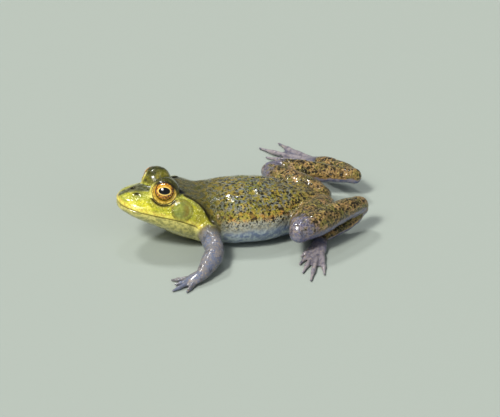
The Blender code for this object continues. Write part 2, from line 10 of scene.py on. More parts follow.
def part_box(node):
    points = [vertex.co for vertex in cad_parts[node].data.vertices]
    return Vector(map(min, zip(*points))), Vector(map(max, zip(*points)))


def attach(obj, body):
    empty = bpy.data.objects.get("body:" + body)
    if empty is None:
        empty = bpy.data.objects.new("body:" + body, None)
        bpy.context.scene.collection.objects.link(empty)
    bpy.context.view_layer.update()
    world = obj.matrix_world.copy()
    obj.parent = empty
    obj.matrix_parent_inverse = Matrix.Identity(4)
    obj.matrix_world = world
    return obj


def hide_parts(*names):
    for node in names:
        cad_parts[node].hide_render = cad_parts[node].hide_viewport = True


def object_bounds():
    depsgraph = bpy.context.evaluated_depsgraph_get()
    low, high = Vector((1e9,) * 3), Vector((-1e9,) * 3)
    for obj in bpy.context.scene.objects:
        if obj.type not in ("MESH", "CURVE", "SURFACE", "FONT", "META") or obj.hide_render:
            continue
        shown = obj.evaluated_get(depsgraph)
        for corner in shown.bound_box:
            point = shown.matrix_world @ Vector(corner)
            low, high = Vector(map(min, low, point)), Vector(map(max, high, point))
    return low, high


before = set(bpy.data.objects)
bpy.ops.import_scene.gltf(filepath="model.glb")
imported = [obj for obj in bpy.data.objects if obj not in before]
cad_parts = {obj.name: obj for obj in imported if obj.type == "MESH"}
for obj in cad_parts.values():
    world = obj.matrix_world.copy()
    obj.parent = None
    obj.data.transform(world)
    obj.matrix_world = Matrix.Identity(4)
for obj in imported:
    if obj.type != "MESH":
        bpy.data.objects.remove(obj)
cadBox = [list(corner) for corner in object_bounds()]
print("frame loaded,", len(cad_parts), "solids")

# All lengths below are millimetres. The frog looks along -X, its left side is on -Y.
# The head has its own axes: forward, out to the frog's left, and up, with the mouth at up = 0.
headPlan = {
    "pivot": (-20.0, 0.0, 17.1),
    "pitch": 15.0,
    "yaw": 9.0,
    # forward, half width, roof height, depth of the jaw, squareness of the roof
    "stations": (
        (-14.0, 20.5, 11.6, 15.0, 2.6),
        (-6.0, 22.6, 12.4, 15.8, 2.8),
        (2.0, 23.8, 13.0, 15.2, 3.3),
        (8.0, 23.8, 13.2, 13.6, 3.6),
        (14.0, 22.8, 13.0, 11.8, 3.5),
        (20.0, 21.2, 12.2, 10.0, 3.0),
        (26.0, 19.0, 10.8, 8.6, 2.6),
        (31.0, 16.7, 9.2, 7.3, 2.5),
        (35.5, 14.2, 7.7, 6.1, 2.4),
        (39.0, 11.5, 6.3, 4.9, 2.3),
        (41.6, 8.6, 5.0, 3.8, 2.2),
        (43.2, 5.4, 3.8, 2.8, 2.2),
        (44.0, 2.2, 2.6, 1.8, 2.2),
    ),
    "cheekHeight": 2.6,
    "browRadius": 8.6,
    "browInset": 2.4,
    # a smaller ball that slopes each brow into the nape: forward, out, up, radius
    "browBack": (15.6, 3.6, 10.6, 6.4),
    "gaze": (0.40, 0.82, 0.40),
    # forward, height of the line between the lips
    "mouth": ((44.0, 0.2), (36.0, 0.4), (26.0, 1.0), (18.0, 1.2), (10.0, 0.6), (2.0, -1.2), (0.0, -1.8)),
}
trunkPlan = {
    # x, half width, top, bottom, height of the widest place
    "stations": (
        (-27.0, 15.0, 23.0, 8.0, 15.0),
        (-22.0, 19.5, 26.6, 3.6, 14.6),
        (-16.0, 22.6, 28.6, 0.6, 14.2),
        (-9.0, 24.6, 29.6, -0.5, 13.6),
        (0.0, 26.3, 30.4, -0.6, 13.2),
        (10.0, 27.3, 30.5, -0.6, 13.0),
        (20.0, 26.6, 29.9, -0.6, 13.0),
        (30.0, 23.8, 28.6, -0.5, 13.2),
        (38.0, 19.8, 27.0, 0.6, 13.6),
        (46.0, 15.4, 24.6, 3.0, 13.8),
        (53.0, 11.4, 21.8, 5.4, 13.8),
        (58.5, 7.8, 19.2, 7.6, 13.6),
        (62.0, 4.6, 16.8, 9.6, 13.4),
        (63.6, 1.8, 14.8, 11.6, 13.2),
    ),
}
# x, y, z, half width, half height along each limb
limbPlan = {
    "upper_arm_left": (
        (-12.3, -17, 13.5, 7.2, 7.2), (-12, -24.5, 12.6, 6.6, 6.6), (-11.5, -32, 11, 5.8, 5.9),
        (-10.8, -39.5, 9.2, 5.1, 5.3),
    ),
    "upper_arm_right": (
        (-12.8, 17, 13.5, 7.2, 7.2), (-12.6, 24.5, 12.6, 6.6, 6.6), (-12.2, 31, 11, 5.8, 5.9),
        (-11.8, 37.5, 9.2, 5.1, 5.3),
    ),
    "forearm_left": (
        (-10.8, -39.5, 9.2, 5.1, 5.3), (-13.2, -45, 8, 5.9, 5.6), (-17, -51, 6, 5, 4.6),
        (-21, -57, 4.3, 3.8, 3.4),
    ),
    "forearm_right": (
        (-11.8, 37.5, 9.2, 5.1, 5.3), (-14.6, 42.4, 8, 5.9, 5.6), (-18.6, 47.8, 6, 5, 4.6),
        (-23, 52.8, 4.3, 3.8, 3.4),
    ),
    "thigh_left": (
        (57.5, -7, 14.8, 8, 7.4), (52, -15, 15.4, 10, 8.4), (46.2, -23.6, 15.9, 9.6, 8.2),
        (41.2, -31.6, 16.1, 8, 7.6), (38, -38, 16, 6, 6.6),
    ),
    "thigh_right": (
        (57.5, 7, 14.4, 8, 7.6), (51.5, 15, 14.4, 10.4, 9.4), (45.2, 24.5, 14.6, 10, 9.2),
        (39.6, 33.5, 15, 8, 8), (36, 41.2, 15.4, 6, 6.6),
    ),
    "shank_left": (
        (38, -38, 16, 6, 6.6), (46.5, -33, 16.8, 7.5, 7.6), (57, -26, 17.3, 7.3, 7.4),
        (67.5, -18.4, 17.4, 6.3, 6.5), (76.4, -11.8, 16.2, 5.2, 5.5), (79.4, -9.4, 15.4, 4.8, 5.2),
    ),
    "shank_right": (
        (36, 41.2, 15.4, 6, 6.6), (45.5, 41.4, 15.5, 7.2, 7.2), (57, 39.4, 14.9, 7, 6.6),
        (69, 36.2, 14.1, 5.6, 5.4), (80.4, 33, 13.4, 4.5, 4.6), (84, 32, 13.2, 4.4, 4.6),
    ),
    "tarsus_left": (
        (79.4, -9.4, 13.6, 4.6, 4.9), (74.4, -13.2, 9, 4.2, 3.9), (64.4, -18.2, 5.1, 3.8, 3),
        (54.8, -22.2, 3.6, 4.3, 2.7),
    ),
    "tarsus_right": (
        (84, 32, 13, 4.4, 4.5), (81.2, 41, 12.6, 4.2, 4), (76.8, 50.4, 11.8, 3.9, 3.4),
        (71.6, 59.2, 10.4, 4.3, 3.1),
    ),
}
# Where each paw starts, what it points at, and the side of its first digit.
pawPlan = {
    "hand_left": {"root": (-21.4, -57.6, 4.1), "towards": (-39.6, -65.8), "inner": -1},
    "hand_right": {"root": (-23.5, 53.3, 4.1), "towards": (-42.8, 58.0), "inner": 1},
    "foot_left": {"root": (54.0, -22.8, 3.6), "towards": (36.0, -72.0), "inner": -1},
    "foot_right": {"root": (71.2, 59.8, 10.2), "towards": (43.5, 104.0), "inner": 1},
    # bearing of each digit from the paw's own line, distance of its tip from the root
    "fingers": ((36.0, 17.5), (14.0, 16.5), (-6.0, 21.5), (-30.0, 17.5)),
    "toes_left": ((26.0, 22.5), (16.0, 31.5), (6.5, 40.5), (-2.5, 49.0), (-13.0, 41.0)),
    "toes_right": ((35.0, 22.5), (23.5, 32.0), (13.5, 42.0), (4.0, 53.0), (-11.5, 51.0)),
    "fingerRadii": (1.5, 1.15),
    "toeRadii": (2.0, 1.1),
    # length, half widths, half thicknesses
    "palm": (8.5, (3.7, 4.3, 4.9, 4.6), (3.2, 2.9, 2.4, 1.8)),
    "sole": (15.0, (4.1, 4.3, 4.9, 5.2), (2.9, 2.7, 2.3, 1.8)),
    # how much lower the paw's far end is, and how far along it the digits start, as shares
    "fall": 0.45,
    "digitStart": 0.48,
    "tipHeight": 0.9,
    "webThickness": 0.85,
    "webReach": 0.93,
    "webDip": 0.74,
}


def smoothCurve(knots, where):
    # cubic through the knots: a(1+2t)(1-t)^2 + b t^2(3-2t) + slopes times span t(1-t)^2 and span t^2(t-1)
    knots = np.asarray(knots, float)
    if knots[0, 0] > knots[-1, 0]:
        knots = knots[::-1]
    place, value = knots[:, 0], knots[:, 1:]
    slope = np.gradient(value, place, axis=0)
    where = np.clip(np.asarray(where, float), place[0], place[-1])
    left = np.clip(np.searchsorted(place, where, side="right") - 1, 0, len(place) - 2)
    span = (place[left + 1] - place[left])[:, None]
    t = (where - place[left])[:, None] / span
    near = value[left] * (1 + 2 * t) * (1 - t) ** 2 + slope[left] * span * t * (1 - t) ** 2
    far = value[left + 1] * t**2 * (3 - 2 * t) + slope[left + 1] * span * t**2 * (t - 1)
    return near + far


def signedPower(value, exponent):
    return np.sign(value) * np.abs(value) ** exponent


def ease(value, low, high):
    # 0 below low, 1 above high, 3t^2 - 2t^3 between
    t = np.clip((value - low) / (high - low), 0.0, 1.0)
    return t * t * (3 - 2 * t)


def bell(distance, width):
    # exp(-(distance / width)^2)
    return np.exp(-((distance / width) ** 2))


def runAlong(path):
    # length of a path up to each of its knots
    return np.concatenate(([0.0], np.cumsum(np.linalg.norm(np.diff(path, axis=0), axis=1))))


def curveAlong(stations, count, first=0.0, last=1.0):
    # places on a smooth curve through the stations, even between two shares of its length
    run = runAlong(stations[:, :3])
    where = np.linspace(first * run[-1], last * run[-1], count)
    return smoothCurve(np.column_stack((run, stations)), where)


def unitRows(vectors):
    return vectors / np.linalg.norm(vectors, axis=1)[:, None]


def distanceTo(points, spot):
    return np.linalg.norm(points - np.asarray(spot), axis=1)


pitch, yaw = np.radians(headPlan["pitch"]), np.radians(headPlan["yaw"])
headAxes = np.array((
    (-np.cos(pitch) * np.cos(yaw), -np.cos(pitch) * np.sin(yaw), np.sin(pitch)),
    (np.sin(yaw), -np.cos(yaw), 0.0),
    (np.sin(pitch) * np.cos(yaw), np.sin(pitch) * np.sin(yaw), np.cos(pitch)),
))


def fromHead(places):
    return np.asarray(headPlan["pivot"]) + np.asarray(places, float) @ headAxes


def toHead(points):
    return (points - np.asarray(headPlan["pivot"])) @ headAxes.T


def closedShell(grid):
    # a grid of rings becomes a skin of quads with one face over each end ring
    rows, cols, _ = grid.shape
    i, j = np.meshgrid(np.arange(rows - 1), np.arange(cols), indexing="ij")
    here, beside = i * cols + j, i * cols + (j + 1) % cols
    quads = np.stack((here, beside, beside + cols, here + cols), -1).reshape(-1, 4).tolist()
    ends = [list(range(cols))[::-1], list(range((rows - 1) * cols, rows * cols))]
    return grid.reshape(-1, 3), quads + ends


def trunkShell():
    # x runs down the body; y = half |cos a|^0.86; z = middle + height |sin a|^p, p = 0.92 above, 0.80 below
    knots = np.asarray(trunkPlan["stations"])
    x = np.linspace(knots[0, 0], knots[-1, 0], 160)
    half, top, bottom, middle = smoothCurve(knots, x).T[:, :, None]
    turn = np.linspace(0, 2 * np.pi, 120, endpoint=False)[None, :]
    rise = np.sin(turn)
    y = half * signedPower(np.cos(turn), 0.86)
    above = middle + (top - middle) * signedPower(rise, 0.92)
    below = middle + (middle - bottom) * signedPower(rise, 0.80)
    x = np.broadcast_to(x[:, None], y.shape)
    return closedShell(np.stack((x, y, np.where(rise > 0, above, below)), -1))


def headShell():
    # forward = first + length sin(t); out = half |cos a|^(2/s); up = cheek + (roof - cheek) |sin a|^(2/s)
    knots = np.asarray(headPlan["stations"])
    forward = knots[0, 0] + (knots[-1, 0] - knots[0, 0]) * np.sin(np.linspace(0, 0.5, 140) * np.pi)
    half, roof, jaw, square = smoothCurve(knots, forward).T[:, :, None]
    cheek = headPlan["cheekHeight"] * np.clip(roof / 12.0, 0.2, 1.0)
    turn = np.linspace(0, 2 * np.pi, 120, endpoint=False)[None, :]
    rise = np.sin(turn)
    out = half * signedPower(np.cos(turn), np.where(rise > 0, 2 / square, 0.86))
    above = cheek + (roof - cheek) * signedPower(rise, 2 / square)
    below = cheek + (cheek + jaw) * signedPower(rise, 0.90)
    forward = np.broadcast_to(forward[:, None], out.shape)
    return closedShell(fromHead(np.stack((forward, out, np.where(rise > 0, above, below)), -1)))


def ballShell(centre, radius):
    # centre + radius (sin a cos b, sin a sin b, cos a)
    a = np.linspace(0.03, np.pi - 0.03, 48)[:, None]
    b = np.linspace(0, 2 * np.pi, 72, endpoint=False)[None, :]
    ball = np.stack((np.sin(a) * np.cos(b), np.sin(a) * np.sin(b), np.cos(a) * np.ones_like(b)), -1)
    return closedShell(np.asarray(centre) + radius * ball)


def limbShell(stations, steps=44, around=40, rounding=(80.0, 62.0, 42.0, 20.0)):
    # centre(s) + width(s) cos(a) side + height(s) sin(a) up; each end closes as a quarter ellipse,
    # with a ring at each of the rounding's angles
    line = curveAlong(np.asarray(stations, float), steps)
    ahead = unitRows(np.gradient(line[:, :3], axis=0))
    angle = np.radians(rounding)[:, None]
    first = line[0, :3] - ahead[0] * line[0, 3] * np.sin(angle)
    last = line[-1, :3] + ahead[-1] * line[-1, 3] * np.sin(angle[::-1])
    centre = np.vstack((first, line[:, :3], last))
    size = np.vstack((line[0, 3:] * np.cos(angle), line[:, 3:], line[-1, 3:] * np.cos(angle[::-1])))
    ahead = np.vstack((np.repeat(ahead[:1], len(angle), 0), ahead, np.repeat(ahead[-1:], len(angle), 0)))
    side = unitRows(np.cross(ahead, (0.0, 0.0, 1.0)))
    upward = np.cross(side, ahead)
    turn = np.linspace(0, 2 * np.pi, around, endpoint=False)[None, :, None]
    wide = size[:, 0, None, None] * np.cos(turn) * side[:, None]
    high = size[:, 1, None, None] * np.sin(turn) * upward[:, None]
    return closedShell(centre[:, None] + wide + high)


def pawLine(spot):
    root = np.asarray(spot["root"], float)
    ahead = np.array((*spot["towards"], 0.0)) - root
    ahead[2] = 0.0
    return root, ahead / np.linalg.norm(ahead)


def digitLine(spot, palmLength, bearing, reach):
    # straight in plan at its bearing, its height falls from the palm to the floor as (1 - s)^1.3
    root, ahead = pawLine(spot)
    side = np.array((-ahead[1], ahead[0], 0.0)) * spot["inner"]
    angle = np.radians(bearing)
    way = ahead * np.cos(angle) + side * np.sin(angle)
    narrow = ahead * np.cos(angle * 0.45) + side * np.sin(angle * 0.45)
    start = pawPlan["digitStart"] * palmLength
    base = root + narrow * start
    base[2] = root[2] * (1 - pawPlan["fall"] * pawPlan["digitStart"])
    s = np.linspace(0, 1, 13)[:, None]
    line = base + way * (reach - start) * s
    line[:, 2] = pawPlan["tipHeight"] + (base[2] - pawPlan["tipHeight"]) * (1 - s[:, 0]) ** 1.3
    return line


def digitShell(line, radii):
    # radius = straight taper times 1 + soft swellings at the joints and at the tip
    s = np.linspace(0, 1, len(line))
    swell = 0.22 * bell(s - 0.46, 0.06) + 0.26 * bell(s - 0.73, 0.05) - 0.30 * ease(s, 0.72, 1.0)
    radius = (radii[0] + (radii[1] - radii[0]) * s) * (0.92 + swell)
    return limbShell(np.column_stack((line, radius, radius)), 40, 16)


def webShell(first, second):
    # rows between two toes; the outer edge is pulled in by (1 - dip) s^2 (1 - (2t - 1)^4)
    shorter = min(np.linalg.norm(first[-1] - first[0]), np.linalg.norm(second[-1] - second[0]))
    down = np.linspace(0.02, 1.0, 22)
    edges = []
    for line in (first, second):
        share = min(pawPlan["webReach"] * shorter / np.linalg.norm(line[-1] - line[0]), 0.94)
        edges.append(smoothCurve(np.column_stack((np.linspace(0, 1, len(line)), line)), down * share))
    t = np.linspace(0, 1, 14)[None, :, None]
    middle = edges[0][:, None] + (edges[1] - edges[0])[:, None] * t
    start = edges[0][0] + (edges[1][0] - edges[0][0]) * t
    dip = 1 - (1 - pawPlan["webDip"]) * down[:, None, None] ** 2 * (1 - (2 * t - 1) ** 4)
    grid = start + (middle - start) * dip
    sag = 0.5 + 0.35 * np.sin(np.pi * t[:, :, 0]) * down[:, None]
    grid[:, :, 2] = np.maximum(grid[:, :, 2] - sag, pawPlan["webThickness"] / 2)
    half = np.array((0.0, 0.0, pawPlan["webThickness"] / 2))
    # each ring goes out over the top of a row and back below it
    return closedShell(np.concatenate((grid + half, (grid - half)[:, ::-1]), axis=1))


def pawShells(name):
    spot = pawPlan[name]
    isHand = name.startswith("hand")
    length, widths, thicknesses = pawPlan["palm" if isHand else "sole"]
    root, ahead = pawLine(spot)
    share = np.linspace(0, 1, len(widths))
    middle = root + ahead * length * share[:, None]
    middle[:, 2] = root[2] * (1 - pawPlan["fall"] * share)
    shells = [limbShell(np.column_stack((middle, widths, thicknesses)), 24, 32)]
    digits = pawPlan["fingers" if isHand else name.replace("foot", "toes")]
    lines = [digitLine(spot, length, *digit) for digit in digits]
    radii = pawPlan["fingerRadii" if isHand else "toeRadii"]
    shells += [digitShell(line, radii) for line in lines]
    if not isHand:
        shells += [webShell(one, two) for one, two in zip(lines, lines[1:])]
    return shells, lines


def nodeMiddle(node):
    low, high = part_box(node)
    return np.array((low + high) / 2) * 1000


def sided(direction, side):
    # a direction of the head's left half, turned to the side asked for, in the frog's axes
    forward, out, up = direction
    turned = np.array((forward, out * side, up)) @ headAxes
    return turned / np.linalg.norm(turned)


eyes = {side: nodeMiddle(f"eye_{name}") for side, name in ((1, "left"), (-1, "right"))}
gazes = {side: sided(headPlan["gaze"], side) for side in (1, -1)}

shells = [trunkShell(), headShell()]
for side in (1, -1):
    shells.append(ballShell(eyes[side] - gazes[side] * headPlan["browInset"], headPlan["browRadius"]))
    forward, out, up, radius = headPlan["browBack"]
    shells.append(ballShell(fromHead((forward, out * side, up)), radius))
shells += [limbShell(stations) for stations in limbPlan.values()]
digitLines = {}
for name in ("hand_left", "hand_right", "foot_left", "foot_right"):
    made, digitLines[name] = pawShells(name)
    shells += made

skinPlan = {"voxel": 0.42, "triangles": 192000}


def meshOf(name, points, faces):
    mesh = bpy.data.meshes.new(name)
    mesh.from_pydata((np.asarray(points) / 1000).tolist(), [], faces)
    mesh.update()
    return mesh


def linked(name, data):
    made = bpy.data.objects.new(name, data)
    bpy.context.scene.collection.objects.link(made)
    return made


def applyModifiers(piece):
    bpy.context.view_layer.update()
    done = bpy.data.meshes.new_from_object(piece.evaluated_get(bpy.context.evaluated_depsgraph_get()))
    piece.modifiers.clear()
    piece.data = done


points, faces, count = [], [], 0
for vertices, quads in shells:
    points.append(vertices)
    faces += [[corner + count for corner in face] for face in quads]
    count += len(vertices)
skin = linked("skin", meshOf("skin", np.vstack(points), faces))
step = skin.modifiers.new("one skin", "REMESH")
step.mode = "VOXEL"
step.voxel_size = skinPlan["voxel"] / 1000
applyModifiers(skin)
print("one skin from", len(shells), "shells:", len(skin.data.vertices), "points")


def meshArrays(mesh):
    # points in millimetres, edges as pairs of points
    flat = np.empty(len(mesh.vertices) * 3, np.float32)
    mesh.vertices.foreach_get("co", flat)
    pairs = np.empty(len(mesh.edges) * 2, np.int32)
    mesh.edges.foreach_get("vertices", pairs)
    return flat.reshape(-1, 3).astype(float) * 1000, pairs.reshape(-1, 2)


def putPoints(mesh, points):
    mesh.vertices.foreach_set("co", (points / 1000).astype(np.float32).ravel())
    mesh.update()


def pointNormals(mesh):
    flat = np.empty(len(mesh.vertices) * 3, np.float32)
    mesh.vertex_normals.foreach_get("vector", flat)
    return flat.reshape(-1, 3).astype(float)


def relaxed(points, pairs, weight, rounds):
    # each round p += weight (mean of the neighbours - p)
    one, two = pairs.T
    count = np.bincount(one, minlength=len(points)) + np.bincount(two, minlength=len(points))
    points = points.copy()
    for _ in range(rounds):
        total = np.stack([
            np.bincount(one, points[two, k], len(points)) + np.bincount(two, points[one, k], len(points))
            for k in range(3)
        ], -1)
        points += weight[:, None] * (total / count[:, None] - points)
    return points


def alongPath(points, path, margin=9.0):
    # distance to the nearest piece of a path and the share of the path's length there; far points get 99
    path = np.asarray(path, float)
    distance, share = np.full(len(points), 99.0), np.zeros(len(points))
    near = np.all((points > path.min(0) - margin) & (points < path.max(0) + margin), axis=1)
    some = points[near]
    run = runAlong(path)
    best, where = np.full(len(some), 99.0), np.zeros(len(some))
    for k in range(len(path) - 1):
        leg = path[k + 1] - path[k]
        t = np.clip((some - path[k]) @ leg / (leg @ leg), 0, 1)
        gap = np.linalg.norm(some - path[k] - t[:, None] * leg, axis=1)
        closer = gap < best
        best = np.where(closer, gap, best)
        where = np.where(closer, (run[k] + t * (run[k + 1] - run[k])) / run[-1], where)
    distance[near], share[near] = best, where
    return distance, share


def sectionDepth(knots, along, across, up, half, above, below):
    # (|(across, up)| in units of the section, less 1) times the section's smaller half, and how far
    # the place is beyond the shape's ends
    high = np.where(up > 0, above, below)
    beyond = np.maximum(along - knots[-1, 0], 0) + np.maximum(knots[0, 0] - along, 0)
    return (np.hypot(across / half, up / high) - 1) * np.minimum(half, high) + beyond


def trunkDepth(points):
    # in sections across x, from the height of the widest place
    knots = np.asarray(trunkPlan["stations"])
    half, top, bottom, middle = smoothCurve(knots, points[:, 0]).T
    up = points[:, 2] - middle
    return sectionDepth(knots, points[:, 0], points[:, 1], up, half, top - middle, middle - bottom)


def headDepth(points):
    # the same in the head's own axes, from the cheek's height
    knots = np.asarray(headPlan["stations"])
    forward, out, up = toHead(points).T
    half, roof, jaw, _ = smoothCurve(knots, forward).T
    cheek = headPlan["cheekHeight"] * np.clip(roof / 12.0, 0.2, 1.0)
    return sectionDepth(knots, forward, out, up - cheek, half, roof - cheek, cheek + jaw)


def limbDepth(points, stations):
    # distance to the limb's middle line less its mean half size there
    stations = np.asarray(stations, float)
    distance, share = alongPath(points, stations[:, :3], 16.0)
    run = runAlong(stations[:, :3])
    return distance - np.interp(share, run / run[-1], stations[:, 3:].mean(1)), share


def allDepths(points):
    depths, shares = {"trunk": trunkDepth(points), "head": headDepth(points)}, {}
    for name, stations in limbPlan.items():
        depths[name], shares[name] = limbDepth(points, stations)
    for name, lines in digitLines.items():
        parts = [alongPath(points, line, 14.0)[0] for line in lines]
        depths[name] = np.min(parts, axis=0) - 1.5
    return depths, shares


points, pairs = meshArrays(skin.data)
points = relaxed(points, pairs, np.full(len(points), 0.5), 3)
depths, shares = allDepths(points)
# one skin, another it grows into, how far the fillet between them reaches, rounds of smoothing
joins = [("trunk", "head", 5.0, 60)]
for name in ("left", "right"):
    joins += [
        ("trunk", f"upper_arm_{name}", 3.6, 40),
        ("trunk", f"thigh_{name}", 3.6, 40),
        (f"upper_arm_{name}", f"forearm_{name}", 3.0, 20),
        (f"forearm_{name}", f"hand_{name}", 3.0, 20),
        (f"tarsus_{name}", f"foot_{name}", 3.0, 20),
    ]
for rounds in (60, 40, 20):
    weight = np.zeros(len(points))
    for one, two, reach, asked in joins:
        if asked == rounds:
            weight = np.maximum(weight, bell(np.abs(depths[one]) + np.abs(depths[two]), reach))
    points = relaxed(points, pairs, 0.6 * weight, rounds)
putPoints(skin.data, points)
print("joins softened")

ear = {
    "centre": (13.2, 21.4, 7.5),
    "axis": (0.20, 0.90, 0.34),
    # the drum is sunk up to the first radius and level at the second, with a knob in its middle and a rim
    "drum": (4.0, 5.4),
    "sunk": 0.36,
    # each a place, width and height; below 0 is a furrow
    "knob": ((0.0, 1.7, 0.30),),
    "rim": ((5.8, 0.7, 0.16), (7.2, 0.8, -0.12)),
}
# across the lips: above the line between them, on it and below it
lips = ((1.05, 0.75, 0.30), (0.0, 0.36, -0.60), (-1.0, 0.8, -0.12))
# the opening of the lids in degrees off the gaze, and how much of it the upper lid takes away
lids = {
    "opening": 71.0,
    "upperLid": {1: 25.0, -1: 33.0},
    # radius at which the skin dives behind the ball, radius of the rim and the slope beyond it
    "hidden": 5.7,
    "rim": 7.7,
    "slope": 0.62,
    # folds below and in front: degrees past the edge, width, height
    "folds": ((10.4, 2.5, 0.32), (15.4, 2.3, -0.32), (20.2, 3.0, 0.26)),
}
# Lines on the left half of the head, as forward, out, up; the right half mirrors them.
headLines = {
    "foldCrease": (
        (11.0, 10.6, 13.2), (9.0, 12.4, 13.0), (6.4, 14.8, 12.7), (3.8, 17.6, 12.0), (1.4, 19.9, 10.6),
        (-0.8, 21.6, 8.8), (-2.8, 23.0, 6.6), (-4.8, 24.8, 4.2), (-6.2, 26.0, 2.2), (-6.8, 26.6, 0.4),
    ),
    "canthus": ((28.0, 9.0, 11.0), (32.0, 7.2, 9.6), (35.2, 5.6, 8.0)),
    "lore": ((29.0, 14.5, 6.6), (33.0, 11.5, 5.2), (36.5, 8.4, 4.4)),
    "cheek": ((19.0, 17.4, 7.2), (13.0, 22.0, 1.6), (7.0, 23.6, 1.2)),
}
# line, a shift off it, width, height (below 0 is a furrow), share of the line over which it fades at each end
headReliefs = (
    ("foldCrease", (0.0, 0.0, 0.0), 0.75, -0.60, 0.18),
    ("foldCrease", (1.5, 0.0, -0.9), 1.7, 0.42, 0.25),
    ("canthus", (0.0, 0.0, 0.0), 1.8, 0.40, 0.3),
    ("lore", (0.0, 0.0, 0.0), 2.2, -0.55, 0.3),
    ("cheek", (0.0, 0.0, 0.0), 1.5, -0.30, 0.3),
)
headSpots = {"nostril": (35.6, 3.8, 7.9), "eyeHollow": (10.8, 7.6, 13.2), "gape": (0.5, 23.6, -2.6)}
nostril = {
    # its own axes: along its slit, across it, and into the head
    "axes": ((0.75, -0.5, -0.43), (0.5, 0.86, 0.0), (0.43, 0.0, 0.9)),
    "squash": (0.62, 1.15, 0.5),
    "relief": ((1.2, 0.6, 0.24), (0.0, 0.62, -1.10)),
}
# Lines on the left half of the trunk, as x, out, z, with how wide and how high (below 0 is a furrow).
trunkLines = (
    (((12.0, 8.6, 30.0), (30.0, 7.4, 28.6), (46.0, 5.0, 24.4), (60.0, 2.6, 18.4)), 1.9, 0.55),
    (((30.0, 0.0, 28.6), (46.0, 0.0, 24.8), (61.0, 0.0, 17.6)), 1.5, 0.30),
    (((-4.0, 24.0, 21.0), (0.0, 26.0, 16.0), (1.5, 26.4, 10.0)), 0.8, -0.40),
    (((1.0, 24.6, 22.5), (5.0, 26.8, 16.0), (6.0, 27.0, 9.0)), 0.8, -0.25),
    (((47.0, 13.0, 21.5), (39.0, 19.0, 16.5), (31.0, 23.5, 10.0)), 0.9, -0.45),
    (((42.0, 15.5, 23.0), (34.0, 21.5, 18.0), (26.0, 25.4, 12.0)), 0.9, -0.30),
    (((36.0, 18.0, 24.4), (28.0, 23.6, 19.0), (21.0, 26.4, 13.0)), 0.9, -0.18),
)
# middle, radius, height
trunkSwellings = (
    ((20.0, 0.0, 30.0), 11.0, 0.6),
    ((-10.0, 12.5, 28.0), 6.0, 0.45),
    ((30.0, 19.0, 22.0), 7.0, 0.3),
)
# limb, angle round it from its side over its top, first and last share of its length, width, height
limbLines = (
    ("thigh", 58.0, 0.15, 0.95, 1.3, -0.28),
    ("thigh", 125.0, 0.20, 0.95, 1.3, -0.24),
    ("shank", 40.0, 0.06, 0.92, 1.0, -0.26),
    ("shank", 140.0, 0.06, 0.92, 1.0, -0.26),
    ("tarsus", 90.0, 0.15, 0.95, 0.8, -0.22),
    ("forearm", 70.0, 0.0, 0.85, 0.8, -0.25),
    ("upper_arm", 60.0, 0.5, 1.0, 0.9, -0.20),
)
warts = {"spacing": (2.5, 1.45), "radius": (1.15, 0.66), "height": (0.15, 0.09), "swell": 0.18}


def snapped(path, cloud):
    # an even path through the knots, each place moved to the nearest point of the skin, then evened out
    line = curveAlong(np.asarray(path, float), 40)
    for _ in range(2):
        line = np.array([cloud[np.argmin(((cloud - place) ** 2).sum(1))] for place in line])
        line[1:-1] = (line[:-2] + 2 * line[1:-1] + line[2:]) / 4
    return line


def limbLine(name, angle, first, last):
    # a line along a limb at one angle round it: centre + width cos(angle) side + height sin(angle) up
    line = curveAlong(np.asarray(limbPlan[name], float), 24, first, last)
    ahead = np.gradient(line[:, :3], axis=0)
    side = unitRows(np.cross(ahead, (0.0, 0.0, 1.0)))
    upward = np.cross(side, unitRows(ahead))
    angle = np.radians(angle)
    return line[:, :3] + np.cos(angle) * line[:, 3:4] * side + np.sin(angle) * line[:, 4:] * upward


def mirroredHead(points):
    local = toHead(points)
    local[:, 1] = np.abs(local[:, 1])
    return local


def eyeAngles(points, side):
    # distance from the eye's middle, degrees off its gaze, how far up and forward round it, -1 to 1
    away = points - eyes[side]
    distance = np.linalg.norm(away, axis=1)
    angle = np.degrees(np.arccos(np.clip(away @ gazes[side] / distance, -1, 1)))
    across = away - (away @ gazes[side])[:, None] * gazes[side]
    across /= np.linalg.norm(across, axis=1)[:, None] + 1e-9
    return distance, angle, across @ headAxes[2], across @ headAxes[0]


def lidEdge(up, side):
    # the opening's edge in degrees off the gaze; the upper lid hangs over the ball and is flatter
    return lids["opening"] - lids["upperLid"][side] * ease(up, -0.15, 1.0)


def earRadius(local):
    # distance from the ear's axis, 99 away from the side of the head
    axis = np.asarray(ear["axis"]) / np.linalg.norm(ear["axis"])
    away = local - np.asarray(ear["centre"])
    along = away @ axis
    radius = np.linalg.norm(away - along[:, None] * axis, axis=1)
    return np.where(np.abs(along) < 5, radius, 99.0)


def mouthGap(local):
    # height above the line between the lips
    return local[:, 2] - smoothCurve(headPlan["mouth"], local[:, 0])[:, 0]


def fade(share, ends):
    # 0 at both ends of a line, 1 over most of it
    return ease(share, 0.0, ends) * (1 - ease(share, 1 - ends, 1.0))


def ridges(distance, rows):
    # the sum of height exp(-((distance - place) / width)^2) over the rows, each a place, width and height
    return sum(height * bell(distance - place, width) for place, width, height in rows)


def nearestSeed(points, spacing, key):
    # one seed per cube at a scattered place; the distance to the nearest seed, in units of the spacing
    cell = np.floor(points / spacing)
    inside = points / spacing - cell
    best = np.full(len(points), 9.0)
    for shift in np.array(list(itertools.product((-1.0, 0.0, 1.0), repeat=3))):
        corner = cell + shift
        mixed = corner @ np.array((127.1, 311.7, 74.7)) + key
        seed = np.stack([np.modf(np.abs(np.sin(mixed + k * 19.19) * 43758.5453))[0] for k in range(3)], -1)
        gap = np.linalg.norm(shift + 0.15 + 0.7 * seed - inside, axis=1)
        best = np.minimum(best, gap)
    return best


